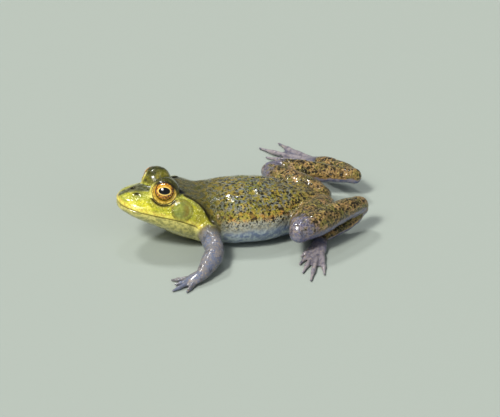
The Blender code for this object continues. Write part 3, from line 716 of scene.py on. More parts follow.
def waves(points, length, key):
    # the mean of six sine waves of about one length that run in scattered directions, -1 to 1
    total = np.zeros(len(points))
    for k in range(6):
        turn, lift = key + 2.4 * k, np.sin(key * 1.7 + k * 1.3)
        way = np.array((np.cos(turn), np.sin(turn), lift)) / np.hypot(1, lift)
        total += np.sin(points @ way * 2 * np.pi / (length * (0.8 + 0.09 * k)) + key * 3.1 * (k + 1))
    return total / 3.0


def headOnly(depths):
    return ease(depths["trunk"] - depths["head"], -2.0, 3.0)


def limbShare(depths, kinds, soft=1.6):
    # 1 where the skin belongs to one of these limbs, 0 where it belongs to the rest
    chosen = np.min([depth for name, depth in depths.items() if name.startswith(kinds)], axis=0)
    others = np.min([depth for name, depth in depths.items() if not name.startswith(kinds)], axis=0)
    return ease(others - chosen, -soft, soft)


def featureZone(points, local, onHead):
    # the places whose detail is finer than the rest of the skin
    zone = (earRadius(local) < 7.2) & onHead
    for side in (1, -1):
        distance, angle, _, _ = eyeAngles(points, side)
        zone |= (distance < 10.5) & (angle > 36) & (angle < 106)
    gap = mouthGap(local)
    zone |= (np.abs(gap) < 1.9) & (local[:, 0] > 0) & onHead
    zone |= distanceTo(local, headSpots["nostril"]) < 3.2
    zone |= alongPath(local, lines["foldCrease"])[0] < 2.0
    return zone


def refined(mesh, zone):
    # every edge with both ends in the zone is halved
    bm = bmesh.new()
    bm.from_mesh(mesh)
    bm.verts.ensure_lookup_table()
    edges = [edge for edge in bm.edges if zone[edge.verts[0].index] and zone[edge.verts[1].index]]
    bmesh.ops.subdivide_edges(bm, edges=edges, cuts=1, use_grid_fill=True)
    bmesh.ops.triangulate(bm, faces=[face for face in bm.faces if len(face.verts) > 4])
    bm.to_mesh(mesh)
    bm.free()
    mesh.update()


# behind and between the eyes the brows flow into the head
depths, shares = allDepths(points)
weight, clear = np.zeros(len(points)), np.ones(len(points))
for side in (1, -1):
    distance, angle, up, ahead = eyeAngles(points, side)
    away = points - eyes[side] + gazes[side] * headPlan["browInset"]
    off = np.linalg.norm(away, axis=1) - headPlan["browRadius"]
    weight = np.maximum(weight, bell(np.abs(off) + np.abs(depths["head"]), 5.0))
    clear *= 1 - ease(-angle, -112.0, -92.0) * (distance < 12.0)
points = relaxed(points, pairs, 0.6 * weight * clear, 90)
depths, shares = allDepths(points)
local = mirroredHead(points)
headCloud = local[(depths["head"] < 3) & (toHead(points)[:, 1] > 0)]
lines = {name: snapped(path, headCloud) for name, path in headLines.items()}
zone = featureZone(points, local, depths["head"] < 3)
refined(skin.data, zone)
points, pairs = meshArrays(skin.data)
fresh = np.arange(len(points)) >= len(zone)
points = relaxed(points, pairs, np.where(fresh, 0.5, 0.15), 2)
putPoints(skin.data, points)
print("feature zones refined:", len(points), "points")

# a shallow dish round each eye, so that its whole lid stands clear of the cheek: the skin stays under the
# brow ball's height up to the lids' rim, and under a straight slope from there, both measured along the gaze
for side in (1, -1):
    away = points - eyes[side]
    high = away @ gazes[side]
    across = np.linalg.norm(away - high[:, None] * gazes[side], axis=1)
    ball = np.sqrt(np.maximum(headPlan["browRadius"] ** 2 - across**2, 0)) - headPlan["browInset"]
    rim = np.sqrt(headPlan["browRadius"] ** 2 - lids["rim"] ** 2) - headPlan["browInset"]
    most = np.where(across < lids["rim"], ball, rim + lids["slope"] * (across - lids["rim"]))
    near = (across < 13) & (high > -4) & (high < 12)
    excess = np.clip((high - most) / 0.35, -30, 30)
    drop = np.where(near, 0.35 * np.log1p(np.exp(excess)), 0.0) * (1 - ease(across, 10.5, 13.0))
    points = points - drop[:, None] * gazes[side]
for side in (1, -1):
    points = relaxed(points, pairs, 0.5 * ease(12.0 - distanceTo(points, eyes[side]), 0.0, 2.0), 4)
putPoints(skin.data, points)

# broad shapes first: folds, furrows, muscles and the back's hump
depths, shares = allDepths(points)
local = mirroredHead(points)
normals = pointNormals(skin.data)
half = points * (1, 0, 1) + np.abs(points) * (0, 1, 0)
onHead = headOnly(depths)
push = np.zeros(len(points))
for name, shift, width, height, ends in headReliefs:
    distance, share = alongPath(local, lines[name] + np.asarray(shift))
    push += height * bell(distance, width) * fade(share, ends)
push -= 0.5 * bell(distanceTo(local, headSpots["eyeHollow"]), 2.0)
push += 0.5 * bell(distanceTo(local, headSpots["gape"]), 2.2)
trunkCloud = half[(depths["trunk"] < 2.5) & (points[:, 1] > 0)]
for path, width, height in trunkLines:
    distance, share = alongPath(half, snapped(path, trunkCloud))
    push += height * bell(distance, width) * fade(share, 0.25) * (1 - onHead)
for middle, radius, height in trunkSwellings:
    push += height * bell(distanceTo(half, middle), radius)
for side in ("left", "right"):
    for kind, angle, first, last, width, height in limbLines:
        name = f"{kind}_{side}"
        mine = ease(3.0 - depths[name], 0.0, 2.0)
        distance, share = alongPath(points, limbLine(name, angle, first, last))
        push += height * bell(distance, width) * fade(share, 0.25) * mine
points = points + normals * push[:, None]
putPoints(skin.data, points)

# then what is small: lips, ears, nostrils, warts
local = mirroredHead(points)
normals = pointNormals(skin.data)
push = np.zeros(len(points))
gap = mouthGap(local)
lipEnd = ease(local[:, 0], 1.0, 5.0) * ease(3.0 - depths["head"], 0.0, 1.0)
push += lipEnd * ridges(gap, lips)
radius = earRadius(local)
push += ridges(radius, ear["knob"]) - ear["sunk"] * (1 - ease(radius, *ear["drum"]))
push += ridges(radius, ear["rim"])
away = (local - np.asarray(headSpots["nostril"])) @ np.array(nostril["axes"]).T
push += ridges(np.linalg.norm(away * nostril["squash"], axis=1), nostril["relief"])
rest = np.minimum(radius / 8.0, 1.0) ** 4
for side in (1, -1):
    distance, angle, up, ahead = eyeAngles(points, side)
    rest *= 1 - (distance < 9.5) * ease(-angle, -92.0, -78.0)
dorsal = ease(normals[:, 2], -0.35, 0.25)
paws = limbShare(depths, ("hand", "foot"))
arms = limbShare(depths, ("upper_arm", "forearm"))
rough = dorsal * (1 - paws) * (1 - 0.75 * arms) * (1 - 0.62 * onHead) * rest
for spacing, size, height, key in zip(warts["spacing"], warts["radius"], warts["height"], (3.1, 8.7)):
    dome = np.clip(1 - (nearestSeed(points, spacing, key) * spacing / size) ** 2, 0, 1) ** 2
    push += height * dome * rough
push += warts["swell"] * waves(points, 8.0, 1.3) * (1 - paws) * (1 - 0.5 * onHead) * rest
points = points + normals * push[:, None]

# the lids: the skin moves out and in from the eye's middle, and dives behind the ball inside the opening
for side in (1, -1):
    distance, angle, up, ahead = eyeAngles(points, side)
    near = 1 - ease(distance, 8.6, 10.4)
    over = angle - lidEdge(up, side)
    lower = ease(ahead * 0.4 - up, -0.5, 0.3)
    lift = 0.16 * bell(over - 1.5, 2.0) - 0.36 * bell(over - 6.0, 2.3) * (0.5 + 0.5 * lower)
    lift += ridges(over, lids["folds"]) * lower
    outside = distance + lift * near
    inside = lids["hidden"] + (outside - lids["hidden"]) * ease(over, -1.6, 1.2)
    target = np.where(distance < 10.0, inside, distance)
    points = eyes[side] + (points - eyes[side]) * (target / distance)[:, None]
    points = relaxed(points, pairs, 0.35 * near * ease(over, 1.0, 3.5), 2)
points[:, 2] = np.maximum(points[:, 2], 0.0)
putPoints(skin.data, points)
print("folds, lips, ears, lids and warts shaped")

# fewer faces, fewest where nothing small is
fine = featureZone(points, local, depths["head"] < 3)
group = skin.vertex_groups.new(name="coarse")
group.add(np.flatnonzero(~fine).tolist(), 1.0, "REPLACE")
group.add(np.flatnonzero(fine).tolist(), 0.25, "REPLACE")
step = skin.modifiers.new("fewer faces", "DECIMATE")
step.ratio = skinPlan["triangles"] / sum(len(face.vertices) - 2 for face in skin.data.polygons)
step.vertex_group = "coarse"
step.vertex_group_factor = 2.0
step.use_collapse_triangulate = True
applyModifiers(skin)
skin.vertex_groups.clear()
skin.data.shade_smooth()
print("skin done:", len(skin.data.polygons), "triangles")


def putMask(mesh, name, values):
    layer = mesh.attributes.new(name, "FLOAT", "POINT")
    layer.data.foreach_set("value", np.asarray(values, np.float32))


# where each colour of the skin lies, as masks that the skin's material reads
points, normals = meshArrays(skin.data)[0], pointNormals(skin.data)
depths, shares = allDepths(points)
local = mirroredHead(points)
onHead = ease(3.5 - depths["head"], 0.0, 2.5)
gap = mouthGap(local)
crease = lines["foldCrease"]
order = np.argsort(crease[:, 2])
behindFold = np.interp(local[:, 2], crease[order, 2], crease[order, 0])
green = onHead * ease(local[:, 0] - behindFold, -0.9, 0.7)
foldDistance, share = alongPath(local, crease)
# painted shadow along the crease under the fold that runs from the eye down behind the ear
foldShade = np.clip(1.9 * bell(foldDistance, 1.05) * fade(share, 0.08) * (1 - 0.45 * share), 0, 1)
hollow, pit = distanceTo(local, headSpots["eyeHollow"]), distanceTo(local, headSpots["nostril"])
# the olive of the head's top ends at a line from the eye to the nostril: forward, out
headTopEdge = ((-10.0, 24.0), (4.0, 15.0), (12.0, 11.0), (20.0, 10.0), (28.0, 7.6), (35.0, 3.4), (44.0, 2.0))
headTopShift = 3.0  # its middle lies this far to the right of the head's
insideEdge = np.interp(local[:, 0], *zip(*headTopEdge)) - np.abs(toHead(points)[:, 1] + headTopShift)
headTop = onHead * ease(insideEdge, -1.4, 1.4) * ease((normals @ headAxes.T)[:, 2], 0.0, 0.5)

lidOver = np.full(len(points), 99.0)
brow, upper, lower = np.zeros((3, len(points)))
for side in (1, -1):
    distance, angle, up, ahead = eyeAngles(points, side)
    over = angle - lidEdge(up, side)
    mine = (distance < 10.4) & (over < lidOver)
    lidOver = np.where(mine, over, lidOver)
    upper = np.where(mine, ease(up, 0.0, 0.6), upper)
    lower = np.where(mine, ease(ahead * 0.4 - up, -0.5, 0.3) * ease(10.2 - distance, 0.0, 1.8), lower)
    brow = np.maximum(brow, ease(10.6 - distance, 0.0, 2.0) * ease(up, -0.1, 0.45))


def nearStart(limb, width):
    # a bell round the place where a kind of limb starts, on both sides
    starts = [np.asarray(limbPlan[f"{limb}_{side}"][0][:3], float) for side in ("left", "right")]
    return np.max([bell(distanceTo(points, place), width) for place in starts], axis=0)


alongLimb = np.zeros(len(points))
nearest = np.min([depths[name] for name in limbPlan], axis=0)
for name, stations in limbPlan.items():
    length = runAlong(np.asarray(stations, float)[:, :3])[-1]
    alongLimb = np.where(depths[name] <= nearest + 1e-6, shares[name] * length, alongLimb)
digits = [alongPath(points, line, 12.0)[0] for paw in digitLines.values() for line in paw]
masks = {
    "green": green,
    "jaw": onHead * ease(-gap, -0.1, 0.5) * ease(local[:, 0], -9.0, -2.0),
    "lip": green * ease(gap, -0.1, 0.3) * (1 - ease(gap, 2.0, 3.6)),
    "lipLine": green * bell(gap, 0.34) * ease(local[:, 0], 1.0, 4.0),
    "headTop": headTop,
    # painted shade: near black in the fold's crease and in the nostril's pit
    "creases": np.clip(foldShade + 1.6 * bell(pit, 1.5), 0, 1),
    "nostril": bell(pit, 3.0),
    # painted shade in the hollow behind each eye
    "hollow": np.clip(1.7 * bell(hollow, 2.5), 0, 1),
    "nape": (1 - green) * bell(foldDistance, 6.5),
    "earRadius": np.where(onHead > 0, earRadius(local), 99.0),
    "earAhead": local[:, 0] - ear["centre"][0],
    "lidOver": lidOver,
    "upperLid": upper,
    "lowerLid": lower,
    "brow": brow,
    "up": ease(normals[:, 2], -1.0, 1.0),
    "arm": limbShare(depths, ("upper_arm", "forearm", "hand"), 2.5) * (1 - green),
    "leg": limbShare(depths, ("thigh", "shank", "tarsus", "foot"), 2.5),
    "foot": limbShare(depths, ("foot",), 3.0),
    "shoulder": nearStart("upper_arm", 14.0),
    "knee": nearStart("shank", 13.0),
    "paw": limbShare(depths, ("foot", "hand"), 3.0),
    "digit": 1 - ease(np.min(digits, axis=0), 1.3, 2.6),
    "alongLimb": alongLimb,
}
for name, values in masks.items():
    putMask(skin.data, name, values)
print("colour masks laid")

# how much flatter the ball is away from the cornea, as a share, and the cornea's spread in degrees
eyePlan = {"radius": 6.6, "cornea": 0.035, "corneaSpread": 38.0}


def eyeball(name, side):
    # R (1 - k (1 - exp(-(a / spread)^2))) along (sin a cos b, sin a sin b, cos a), with the gaze at a = 0
    rows, around = 64, 96
    a = np.linspace(0.0, np.pi, rows)[1:-1, None]
    b = np.linspace(0, 2 * np.pi, around, endpoint=False)[None, :]
    flat = eyePlan["cornea"] * (1 - bell(a, np.radians(eyePlan["corneaSpread"])))
    radius = eyePlan["radius"] * (1 - flat)
    gaze = gazes[side]
    ahead = headAxes[0] - (headAxes[0] @ gaze) * gaze
    ahead /= np.linalg.norm(ahead)
    upward = headAxes[2] - (headAxes[2] @ gaze) * gaze - (headAxes[2] @ ahead) * ahead
    upward /= np.linalg.norm(upward)
    x, y = radius * np.sin(a) * np.cos(b), radius * np.sin(a) * np.sin(b)
    z = radius * np.cos(a) * np.ones_like(b)
    grid = eyes[side] + x[..., None] * ahead + y[..., None] * upward + z[..., None] * gaze
    # the shell's two end faces give way to a fan of triangles round each pole
    points, faces = closedShell(grid)
    first, last, end = len(points), len(points) + 1, (rows - 3) * around
    points = np.vstack((points, eyes[side] + eyePlan["radius"] * gaze, eyes[side] - radius[-1] * gaze))
    j = np.arange(around)
    k = (j + 1) % around
    fans = np.stack((np.full(around, first), k, j, np.full(around, last), end + j, end + k), -1)
    mesh = meshOf(name, points, faces[:-2] + fans.reshape(-1, 3).tolist())
    bm = bmesh.new()
    bm.from_mesh(mesh)
    bmesh.ops.recalc_face_normals(bm, faces=bm.faces)
    bm.to_mesh(mesh)
    bm.free()
    away = points - eyes[side]
    for key, way in (("ahead", ahead), ("upward", upward), ("outward", gaze)):
        putMask(mesh, key, away @ way)
    mesh.shade_smooth()
    return linked(name, mesh)


eyePieces = {side: eyeball(f"eyeball_{name}", side) for side, name in ((1, "left"), (-1, "right"))}
print("eyes made")


def arithmetic(operation, swapped=False):
    # a method that adds a Math node for one operation
    def apply(self, other):
        pair = (other, self) if swapped else (self, other)
        return Flow.node("Math", {"operation": operation}, dict(enumerate(pair)))

    return apply


class Flow:
    # a socket that carries a value; + - * / ** between flows and numbers add Math nodes
    tree = None
    # the dictionary that names the colours of the material at hand
    look = None

    def __init__(self, socket):
        self.socket = socket

    @classmethod
    def feed(cls, target, value):
        if isinstance(value, Flow):
            cls.tree.links.new(value.socket, target)
        elif isinstance(value, tuple) and len(value) == 3 and target.type == "RGBA":
            target.default_value = (*value, 1.0)
        else:
            target.default_value = value

    @classmethod
    def node(cls, kind, settings, values, result=0):
        # the settings are set first, then the sockets, by name or number
        made = cls.tree.nodes.new("ShaderNode" + kind)
        for name, value in settings.items():
            setattr(made, name, value)
        for name, value in values.items():
            cls.feed(made.inputs[name], value)
        return cls(made.outputs[result])

    __add__ = __radd__ = arithmetic("ADD")
    __sub__, __rsub__ = arithmetic("SUBTRACT"), arithmetic("SUBTRACT", True)
    __mul__ = __rmul__ = arithmetic("MULTIPLY")
    __truediv__, __rtruediv__ = arithmetic("DIVIDE"), arithmetic("DIVIDE", True)
    __pow__, most = arithmetic("POWER"), arithmetic("MAXIMUM")

    def between(self, low, high):
        # 0 at low, 1 at high, smooth between; low may be the larger
        values = {"Value": self, "From Min": low, "From Max": high}
        return Flow.node("MapRange", {"interpolation_type": "SMOOTHSTEP"}, values)


def mask(name):
    return Flow.node("Attribute", {"attribute_name": name}, {}, "Fac")


def mixed(share, under, over):
    # sockets 6 and 7 are the two colours, the third result is the mixed one
    return Flow.node("Mix", {"data_type": "RGBA"}, {0: share, 6: under, 7: over}, 2)


def shade(red, green, blue):
    # a colour as it looks on a screen, 0 to 255, made linear
    screen = np.array((red, green, blue)) / 255
    linear = np.where(screen <= 0.04045, screen / 12.92, ((screen + 0.055) / 1.055) ** 2.4)
    return tuple(float(value) for value in linear)


def noise(place, size, detail=3.0, roughness=0.55):
    # cloudy noise whose lumps are about size millimetres
    values = {"Vector": place, "Scale": 1 / size, "Detail": detail, "Roughness": roughness}
    return Flow.node("TexNoise", {}, values, 0)


def cells(place, size, result="Distance"):
    return Flow.node("TexVoronoi", {"feature": "F1"}, {"Vector": place, "Scale": 1 / size}, result)


def millimetres():
    place = Flow.node("TexCoord", {}, {}, "Object")
    return Flow.node("VectorMath", {"operation": "SCALE"}, {0: place, "Scale": 1000.0})


def shifted(place, size, amount):
    # the place pushed about by noise, so that round cells get ragged
    wander = Flow.node("TexNoise", {}, {"Vector": place, "Scale": 1 / size, "Detail": 2.0}, "Color")
    centred = Flow.node("VectorMath", {"operation": "SUBTRACT"}, {0: wander, 1: (0.5, 0.5, 0.5)})
    moved = Flow.node("VectorMath", {"operation": "SCALE"}, {0: centred, "Scale": amount})
    return Flow.node("VectorMath", {"operation": "ADD"}, {0: place, 1: moved})


def newMaterial(name, look):
    made = bpy.data.materials.new(name)
    made.use_nodes = True
    Flow.tree, Flow.look = made.node_tree, look
    return made, made.node_tree.nodes["Principled BSDF"].inputs


skinLook = {
    "roughness": (0.16, 0.32),
    "specular": 0.12,
    "coat": 0.8,
    "coatRoughness": 0.09,
    "grain": 0.75,
    "grainHeight": 0.0002,
    # how far towards black a speckle goes
    "speckleStrength": 0.94,
    # length of one dark bar and one pale one along a leg, in millimetres
    "barSpacing": 12.0,
    # colours as they look on a screen; where there are two, clouds of the second lie in the first
    "back": ((104, 106, 38), (132, 118, 44)),
    "backTan": (166, 136, 54),
    # painted reflection of the sky on the wet top of the back
    "skyReflection": (100, 108, 112),
    "flank": ((152, 140, 54), (172, 124, 56)),
    "flankOlive": (108, 102, 46),
    "lowFlank": ((156, 154, 136), (124, 128, 122)),
    "belly": ((148, 160, 166), (94, 108, 134)),
    "chest": ((178, 174, 124), (132, 134, 104)),
    "rump": (122, 104, 50),
    "leg": ((106, 100, 50), (134, 108, 64)),
    "legRust": (176, 140, 96),
    "legBar": (56, 50, 30),
    # mauve at the knees; where a leg faces down it is painted shade
    "mauve": ((122, 118, 136), (76, 84, 118)),
    "mauveTan": (146, 134, 124),
    "arm": ((96, 102, 120), (112, 110, 114)),
    "armSlate": (78, 88, 114),
    "armTan": (160, 140, 110),
    "armDark": (64, 64, 72),
    "armRoot": ((166, 144, 94), (118, 110, 82)),
    "web": ((74, 78, 98), (100, 94, 104)),
    "toe": ((132, 126, 132), (92, 90, 104)),
    "toeTan": (160, 144, 124),
    "speckle": (18, 17, 12),
    "blotch": (48, 46, 26),
    "fleck": (188, 170, 90),
    "side": ((184, 180, 40), (148, 152, 46)),
    "sideYellow": (212, 204, 84),
    "sideGreen": (112, 122, 34),
    "sideOlive": (100, 106, 34),
    # painted glints, as small pale flecks on the head's sides
    "rearCheek": (118, 108, 34),
    "sideGlint": (238, 234, 150),
    "headTop": ((62, 66, 42), (98, 102, 78)),
    "brow": ((28, 30, 8), (60, 58, 14)),
    "lip": ((214, 206, 92), (190, 160, 72)),
    "smudge": (52, 52, 28),
    "throat": ((196, 188, 108), (146, 144, 82)),
    "drum": ((126, 134, 64), (98, 108, 48)),
    "drumRear": (110, 84, 34),
    "drumRim": ((138, 134, 56), (104, 102, 40)),
    "nape": ((50, 50, 10), (76, 70, 16)),
    "lidFold": ((222, 214, 116), (194, 184, 82)),
    # painted shade in the furrows between the folds below the eye
    "furrowShade": (84, 76, 28),
    "upperLid": (30, 26, 14),
    "lidEdge": ((196, 168, 70), (150, 122, 42)),
    "upperEdge": (30, 22, 14),
    # painted shade in the groove just outside the lower lid's rim
    "grooveShade": (36, 28, 12),
    "lipLine": (84, 64, 30),
    "nostril": (84, 72, 28),
    # painted shade in the fold's crease and the nostril's pit
    "creases": (16, 15, 10),
    # painted shade, blue black, in the hollow behind each eye
    "hollow": (22, 26, 38),
}


def layered(under, *layers):
    # named colours laid one over another, each by its own share
    for share, name in layers:
        under = mixed(share, under, shade(*Flow.look[name]))
    return under


def clouds(cloud, low, high, name):
    # the first colour of that name where the noise is low, the second where it is high
    first, second = Flow.look[name]
    return mixed(cloud.between(low, high), shade(*first), shade(*second))


def skinField():
    # what the colours of the skin are worked out from: places, and noise whose lumps have three sizes
    place = millimetres()
    return SimpleNamespace(
        place=place,
        ragged=shifted(place, 0.9, 1.2),
        height=Flow.node("SeparateXYZ", {}, {"Vector": place}, "Z"),
        along=Flow.node("SeparateXYZ", {}, {"Vector": place}, "X"),
        up=mask("up"),
        broad=noise(place, 9.0),
        middling=noise(place, 3.0),
        fine=noise(place, 1.1),
    )


def trunkColour(at):
    # back: olive and brown clouds, with blue grey patches of painted sky reflection where the back faces up
    skyReflection = noise(at.place, 2.4).between(0.47, 0.57) * (at.up + 0.3 * at.broad).between(0.98, 1.12)
    back = layered(
        clouds(at.broad, 0.40, 0.60, "back"),
        (at.middling.between(0.50, 0.62) * 0.45, "backTan"),
        (skyReflection * 0.8, "skyReflection"),
    )
    # flanks: yellow olive with orange, a greyer tan below it, then a mottled pale belly
    flank = clouds(at.middling, 0.42, 0.58, "flank")
    flank = layered(flank, (at.fine.between(0.52, 0.66) * 0.5, "flankOlive"))
    body = mixed((at.height + 7.0 * at.broad).between(28.5, 23.5), back, flank)
    lowFlank = (at.height + 5.0 * at.middling).between(23.4, 19.8)
    body = mixed(lowFlank, body, clouds(at.fine, 0.4, 0.6, "lowFlank"))
    low = (at.height + 5.0 * at.broad).between(17.5, 13.0)
    body = mixed(low.most((1 - at.up).between(0.62, 0.85)), body, clouds(at.middling, 0.36, 0.62, "belly"))
    # the chest goes over into the throat, and the rump is browner
    chest = at.along.between(4.0, -18.0) * low * (1 - at.up).between(0.3, 0.6)
    body = mixed(chest * 0.85, body, clouds(at.middling, 0.36, 0.62, "chest"))
    rump = at.along.between(30.0, 54.0) * 0.7 * at.up.between(0.4, 0.8)
    return layered(body, (rump, "rump"))


def legColour(at, legs):
    # brown with rust and dark bars, mauve at the knees, and the same mauve below as painted shade on the
    # legs' lower sides; returns the share of mauve too
    angle = mask("alongLimb") * (2 * np.pi / skinLook["barSpacing"]) + 9.0 * at.broad
    bar = Flow.node("Math", {"operation": "SINE"}, {0: angle}).between(0.25, 0.95)
    bar = bar * noise(at.place, 4.0).between(0.38, 0.52)
    leg = layered(
        clouds(at.broad, 0.40, 0.60, "leg"),
        (at.middling.between(0.52, 0.62) * 0.7, "legRust"),
        (bar * 0.6 * at.up.between(0.35, 0.7), "legBar"),
    )
    mauve = clouds(at.middling, 0.42, 0.58, "mauve")
    mauve = layered(mauve, (at.fine.between(0.52, 0.64) * 0.4, "mauveTan"))
    # painted shade: mauve blue where the leg faces down
    below = (at.up + 0.5 * (at.middling - 0.5) + 0.3 * (at.broad - 0.5)).between(0.52, 0.30)
    knee = (mask("knee") + 1.4 * (at.middling - 0.5)).between(0.36, 0.82)
    share = below.most(0.85 * knee) * legs
    return mixed(share, leg, mauve), share


def armColour(at):
    # mauve grey with tan clouds, more tan where the arm leaves the body
    arm = layered(
        clouds(at.broad, 0.42, 0.58, "arm"),
        (at.middling.between(0.50, 0.62) * 0.7, "armSlate"),
        (at.fine.between(0.56, 0.66) * 0.6, "armTan"),
        (noise(at.ragged, 4.0).between(0.56, 0.62) * 0.6 * at.up.between(0.4, 0.7), "armDark"),
    )
    root = (mask("shoulder") + 0.5 * (at.middling - 0.5)).between(0.25, 0.80) * 0.9
    return mixed(root, arm, clouds(at.middling, 0.42, 0.58, "armRoot"))


def footColour(at):
    # mauve grey toes, darker webs between them
    toes = clouds(at.middling, 0.45, 0.60, "toe")
    toes = layered(toes, (at.fine.between(0.54, 0.66) * 0.6, "toeTan"))
    return mixed(mask("digit"), clouds(at.middling, 0.42, 0.62, "web"), toes)


def speckled(at, body, bare, legs, mauve):
    # ragged dark cells of two sizes, thickest on the rump and the legs, then blotches and pale flecks
    thick = at.along.between(12.0, 40.0).most(legs) * 0.07
    chance = Flow.node("SeparateColor", {}, {"Color": cells(at.ragged, 2.1, "Color")}, "Red")
    large = (cells(at.ragged, 2.1) + 0.36 * chance + 0.6 * at.fine - thick).between(0.86, 0.75)
    small = (cells(shifted(at.place, 0.7, 0.9), 1.1) + 0.5 * noise(at.place, 5.0) - thick).between(0.64, 0.56)
    strong = skinLook["speckleStrength"] * bare * (1 - (1 - at.up).between(0.50, 0.75)) * (1 - 0.6 * mauve)
    strong = strong * (at.height + 6.0 * at.broad).between(15.0, 21.0).most(legs * at.up.between(0.4, 0.62))
    blotch = noise(shifted(at.place, 5.0, 4.0), 6.0, 2.0).between(0.56, 0.64)
    fleck = noise(shifted(at.place, 2.0, 1.5), 1.5, 1.0).between(0.64, 0.70)
    return layered(
        body,
        (large.most(0.8 * small) * strong, "speckle"),
        (blotch * 0.5 * strong, "blotch"),
        (fleck * 0.5 * strong, "fleck"),
    )


def headColour(at):
    # yellow green sides, greyer olive above, a pale yellow lip and a mottled throat
    behindEar = (mask("earAhead") + 6.0 * (at.broad - 0.5)).between(-5.0, -12.0)
    head = layered(
        clouds(at.broad, 0.40, 0.60, "side"),
        (at.middling.between(0.52, 0.66) * 0.6, "sideYellow"),
        (noise(at.ragged, 3.6).between(0.52, 0.62) * 0.55, "sideGreen"),
        (at.fine.between(0.50, 0.62) * 0.45, "sideOlive"),
        (behindEar * 0.55, "rearCheek"),
        # painted glints: small pale flecks scattered over the sides
        (noise(at.ragged, 0.9, 1.0).between(0.60, 0.66) * 0.7, "sideGlint"),
    )
    head = mixed(mask("headTop"), head, clouds(at.middling, 0.42, 0.60, "headTop"))
    head = mixed(mask("brow") * 0.94, head, clouds(at.middling, 0.45, 0.60, "brow"))
    head = mixed(mask("lip") * 0.75, head, clouds(at.fine, 0.42, 0.60, "lip"))
    smudge = noise(at.ragged, 2.2).between(0.54, 0.66) * mask("headTop").most(mask("brow"))
    head = layered(head, (smudge * 0.6, "smudge"))
    head = mixed(mask("jaw"), head, clouds(noise(at.ragged, 2.4), 0.42, 0.60, "throat"))
    # ear: olive drum, browner towards its rear
    ring = mask("earRadius")
    rear = (mask("earAhead") + 4.0 * at.middling).between(2.6, -0.8) * ring.between(5.2, 3.4)
    drum = layered(clouds(at.middling, 0.42, 0.60, "drum"), (rear * 0.75, "drumRear"))
    drum = mixed(ring.between(4.4, 5.4), drum, clouds(at.fine, 0.40, 0.60, "drumRim"))
    return mixed(ring.between(6.9, 5.9) * 0.85, head, drum)


def lidColours(at, body):
    # a golden edge, dark above, then yellow folds below and in front, with thin bands of painted shade in the
    # furrows between them and in the groove just outside the lower lid's rim
    over, upper, lower = mask("lidOver"), mask("upperLid"), mask("lowerLid")
    folds = Flow.node("Math", {"operation": "COSINE"}, {0: (over - 10.6) * (2 * np.pi / 9.6)})
    pale = clouds(at.fine, 0.40, 0.62, "lidFold")
    pale = layered(pale, (folds.between(-0.1, -0.8) * 0.6, "furrowShade"))
    body = mixed(lower * over.between(26.0, 16.0) * 0.85, body, pale)
    body = layered(
        body,
        (over.between(16.0, 9.0) * upper * 0.9, "upperLid"),
        (over.between(8.4, 7.0) * lower, "grooveShade"),
    )
    edge = layered(clouds(at.fine, 0.4, 0.6, "lidEdge"), (upper, "upperEdge"))
    return mixed(over.between(4.0, 3.0), body, edge)


def frogSkin():
    made, shader = newMaterial("bullfrogSkin", skinLook)
    at = skinField()
    green, paws = mask("green"), mask("paw")
    # painted shade: the first mask darkens the fold's crease and the nostril's pit, the second the hollow
    # behind each eye
    crease, hollow = mask("creases"), mask("hollow")
    # the limbs' colours meet the body's along an uneven line
    uneven = 0.7 * (at.middling - 0.5) + 0.5 * (at.fine - 0.5)
    arms, legs = (mask("arm") + uneven).between(0.3, 0.7), (mask("leg") + uneven).between(0.3, 0.7)
    leg, mauve = legColour(at, legs)
    body = mixed(legs, trunkColour(at), leg)
    body = mixed(arms, body, armColour(at))
    body = mixed(mask("foot"), body, footColour(at))
    body = speckled(at, body, (1 - green) * (1 - arms) * (1 - paws), legs, mauve)
    onHead = green.most(mask("jaw")).most(mask("brow"))
    body = mixed(onHead, body, headColour(at))
    # behind the eyes the head is as dark as the nape
    nape = (1 - onHead) * (at.height + 4.0 * at.broad).between(18.0, 25.0) * at.along.between(6.0, -14.0)
    nape = (0.78 * nape).most(0.85 * mask("nape"))
    body = mixed(nape, body, clouds(at.middling, 0.42, 0.58, "nape"))
    body = layered(
        lidColours(at, body),
        (mask("lipLine") * 0.75, "lipLine"),
        (mask("nostril") * (0.5 + 0.8 * (at.fine - 0.4)), "nostril"),
        # painted shade last: near black in the crease and the nostril's pit, blue black in the hollow behind
        # each eye
        (crease * 0.94, "creases"),
        (hollow * 0.94, "hollow"),
    )
    Flow.feed(shader["Base Color"], body)

    # wet all over but for the creases, less so on the arms and paws
    dry = 1 - crease.most(hollow)
    low, high = skinLook["roughness"]
    Flow.feed(shader["Roughness"], low + (high - low) * at.middling.between(0.35, 0.65) + 0.3 * (1 - dry))
    shader["Specular IOR Level"].default_value = skinLook["specular"]
    Flow.feed(shader["Coat Weight"], skinLook["coat"] * dry * (1 - 0.55 * arms.most(paws)))
    shader["Coat Roughness"].default_value = skinLook["coatRoughness"]
    # grain: small round pebbles and a fine leathery noise
    pebbles = cells(shifted(at.place, 2.0, 0.6), 0.85).between(0.62, 0.10)
    grain = pebbles * (1 - 0.7 * paws) * (1 - 0.4 * green) + 0.6 * noise(at.place, 0.45) + 0.6 * at.fine
    values = {"Strength": skinLook["grain"], "Distance": skinLook["grainHeight"], "Height": grain}
    Flow.feed(shader["Normal"], Flow.node("Bump", {}, values, "Normal"))
    return made


eyeLook = {
    # half width and half height of the pupil
    "pupilSize": (3.25, 2.05),
    "roughness": 0.12,
    "coatRoughness": 0.02,
    "iris": ((216, 150, 34), (120, 62, 14)),
    "fleck": (34, 18, 8),
    "glow": (226, 176, 64),
    "darkRing": (30, 16, 8),
    "goldRing": (206, 158, 48),
    "rim": (26, 18, 10),
    "pupilRing": (240, 202, 104),
    "pupil": (4, 4, 6),
    "hidden": (22, 16, 10),
}


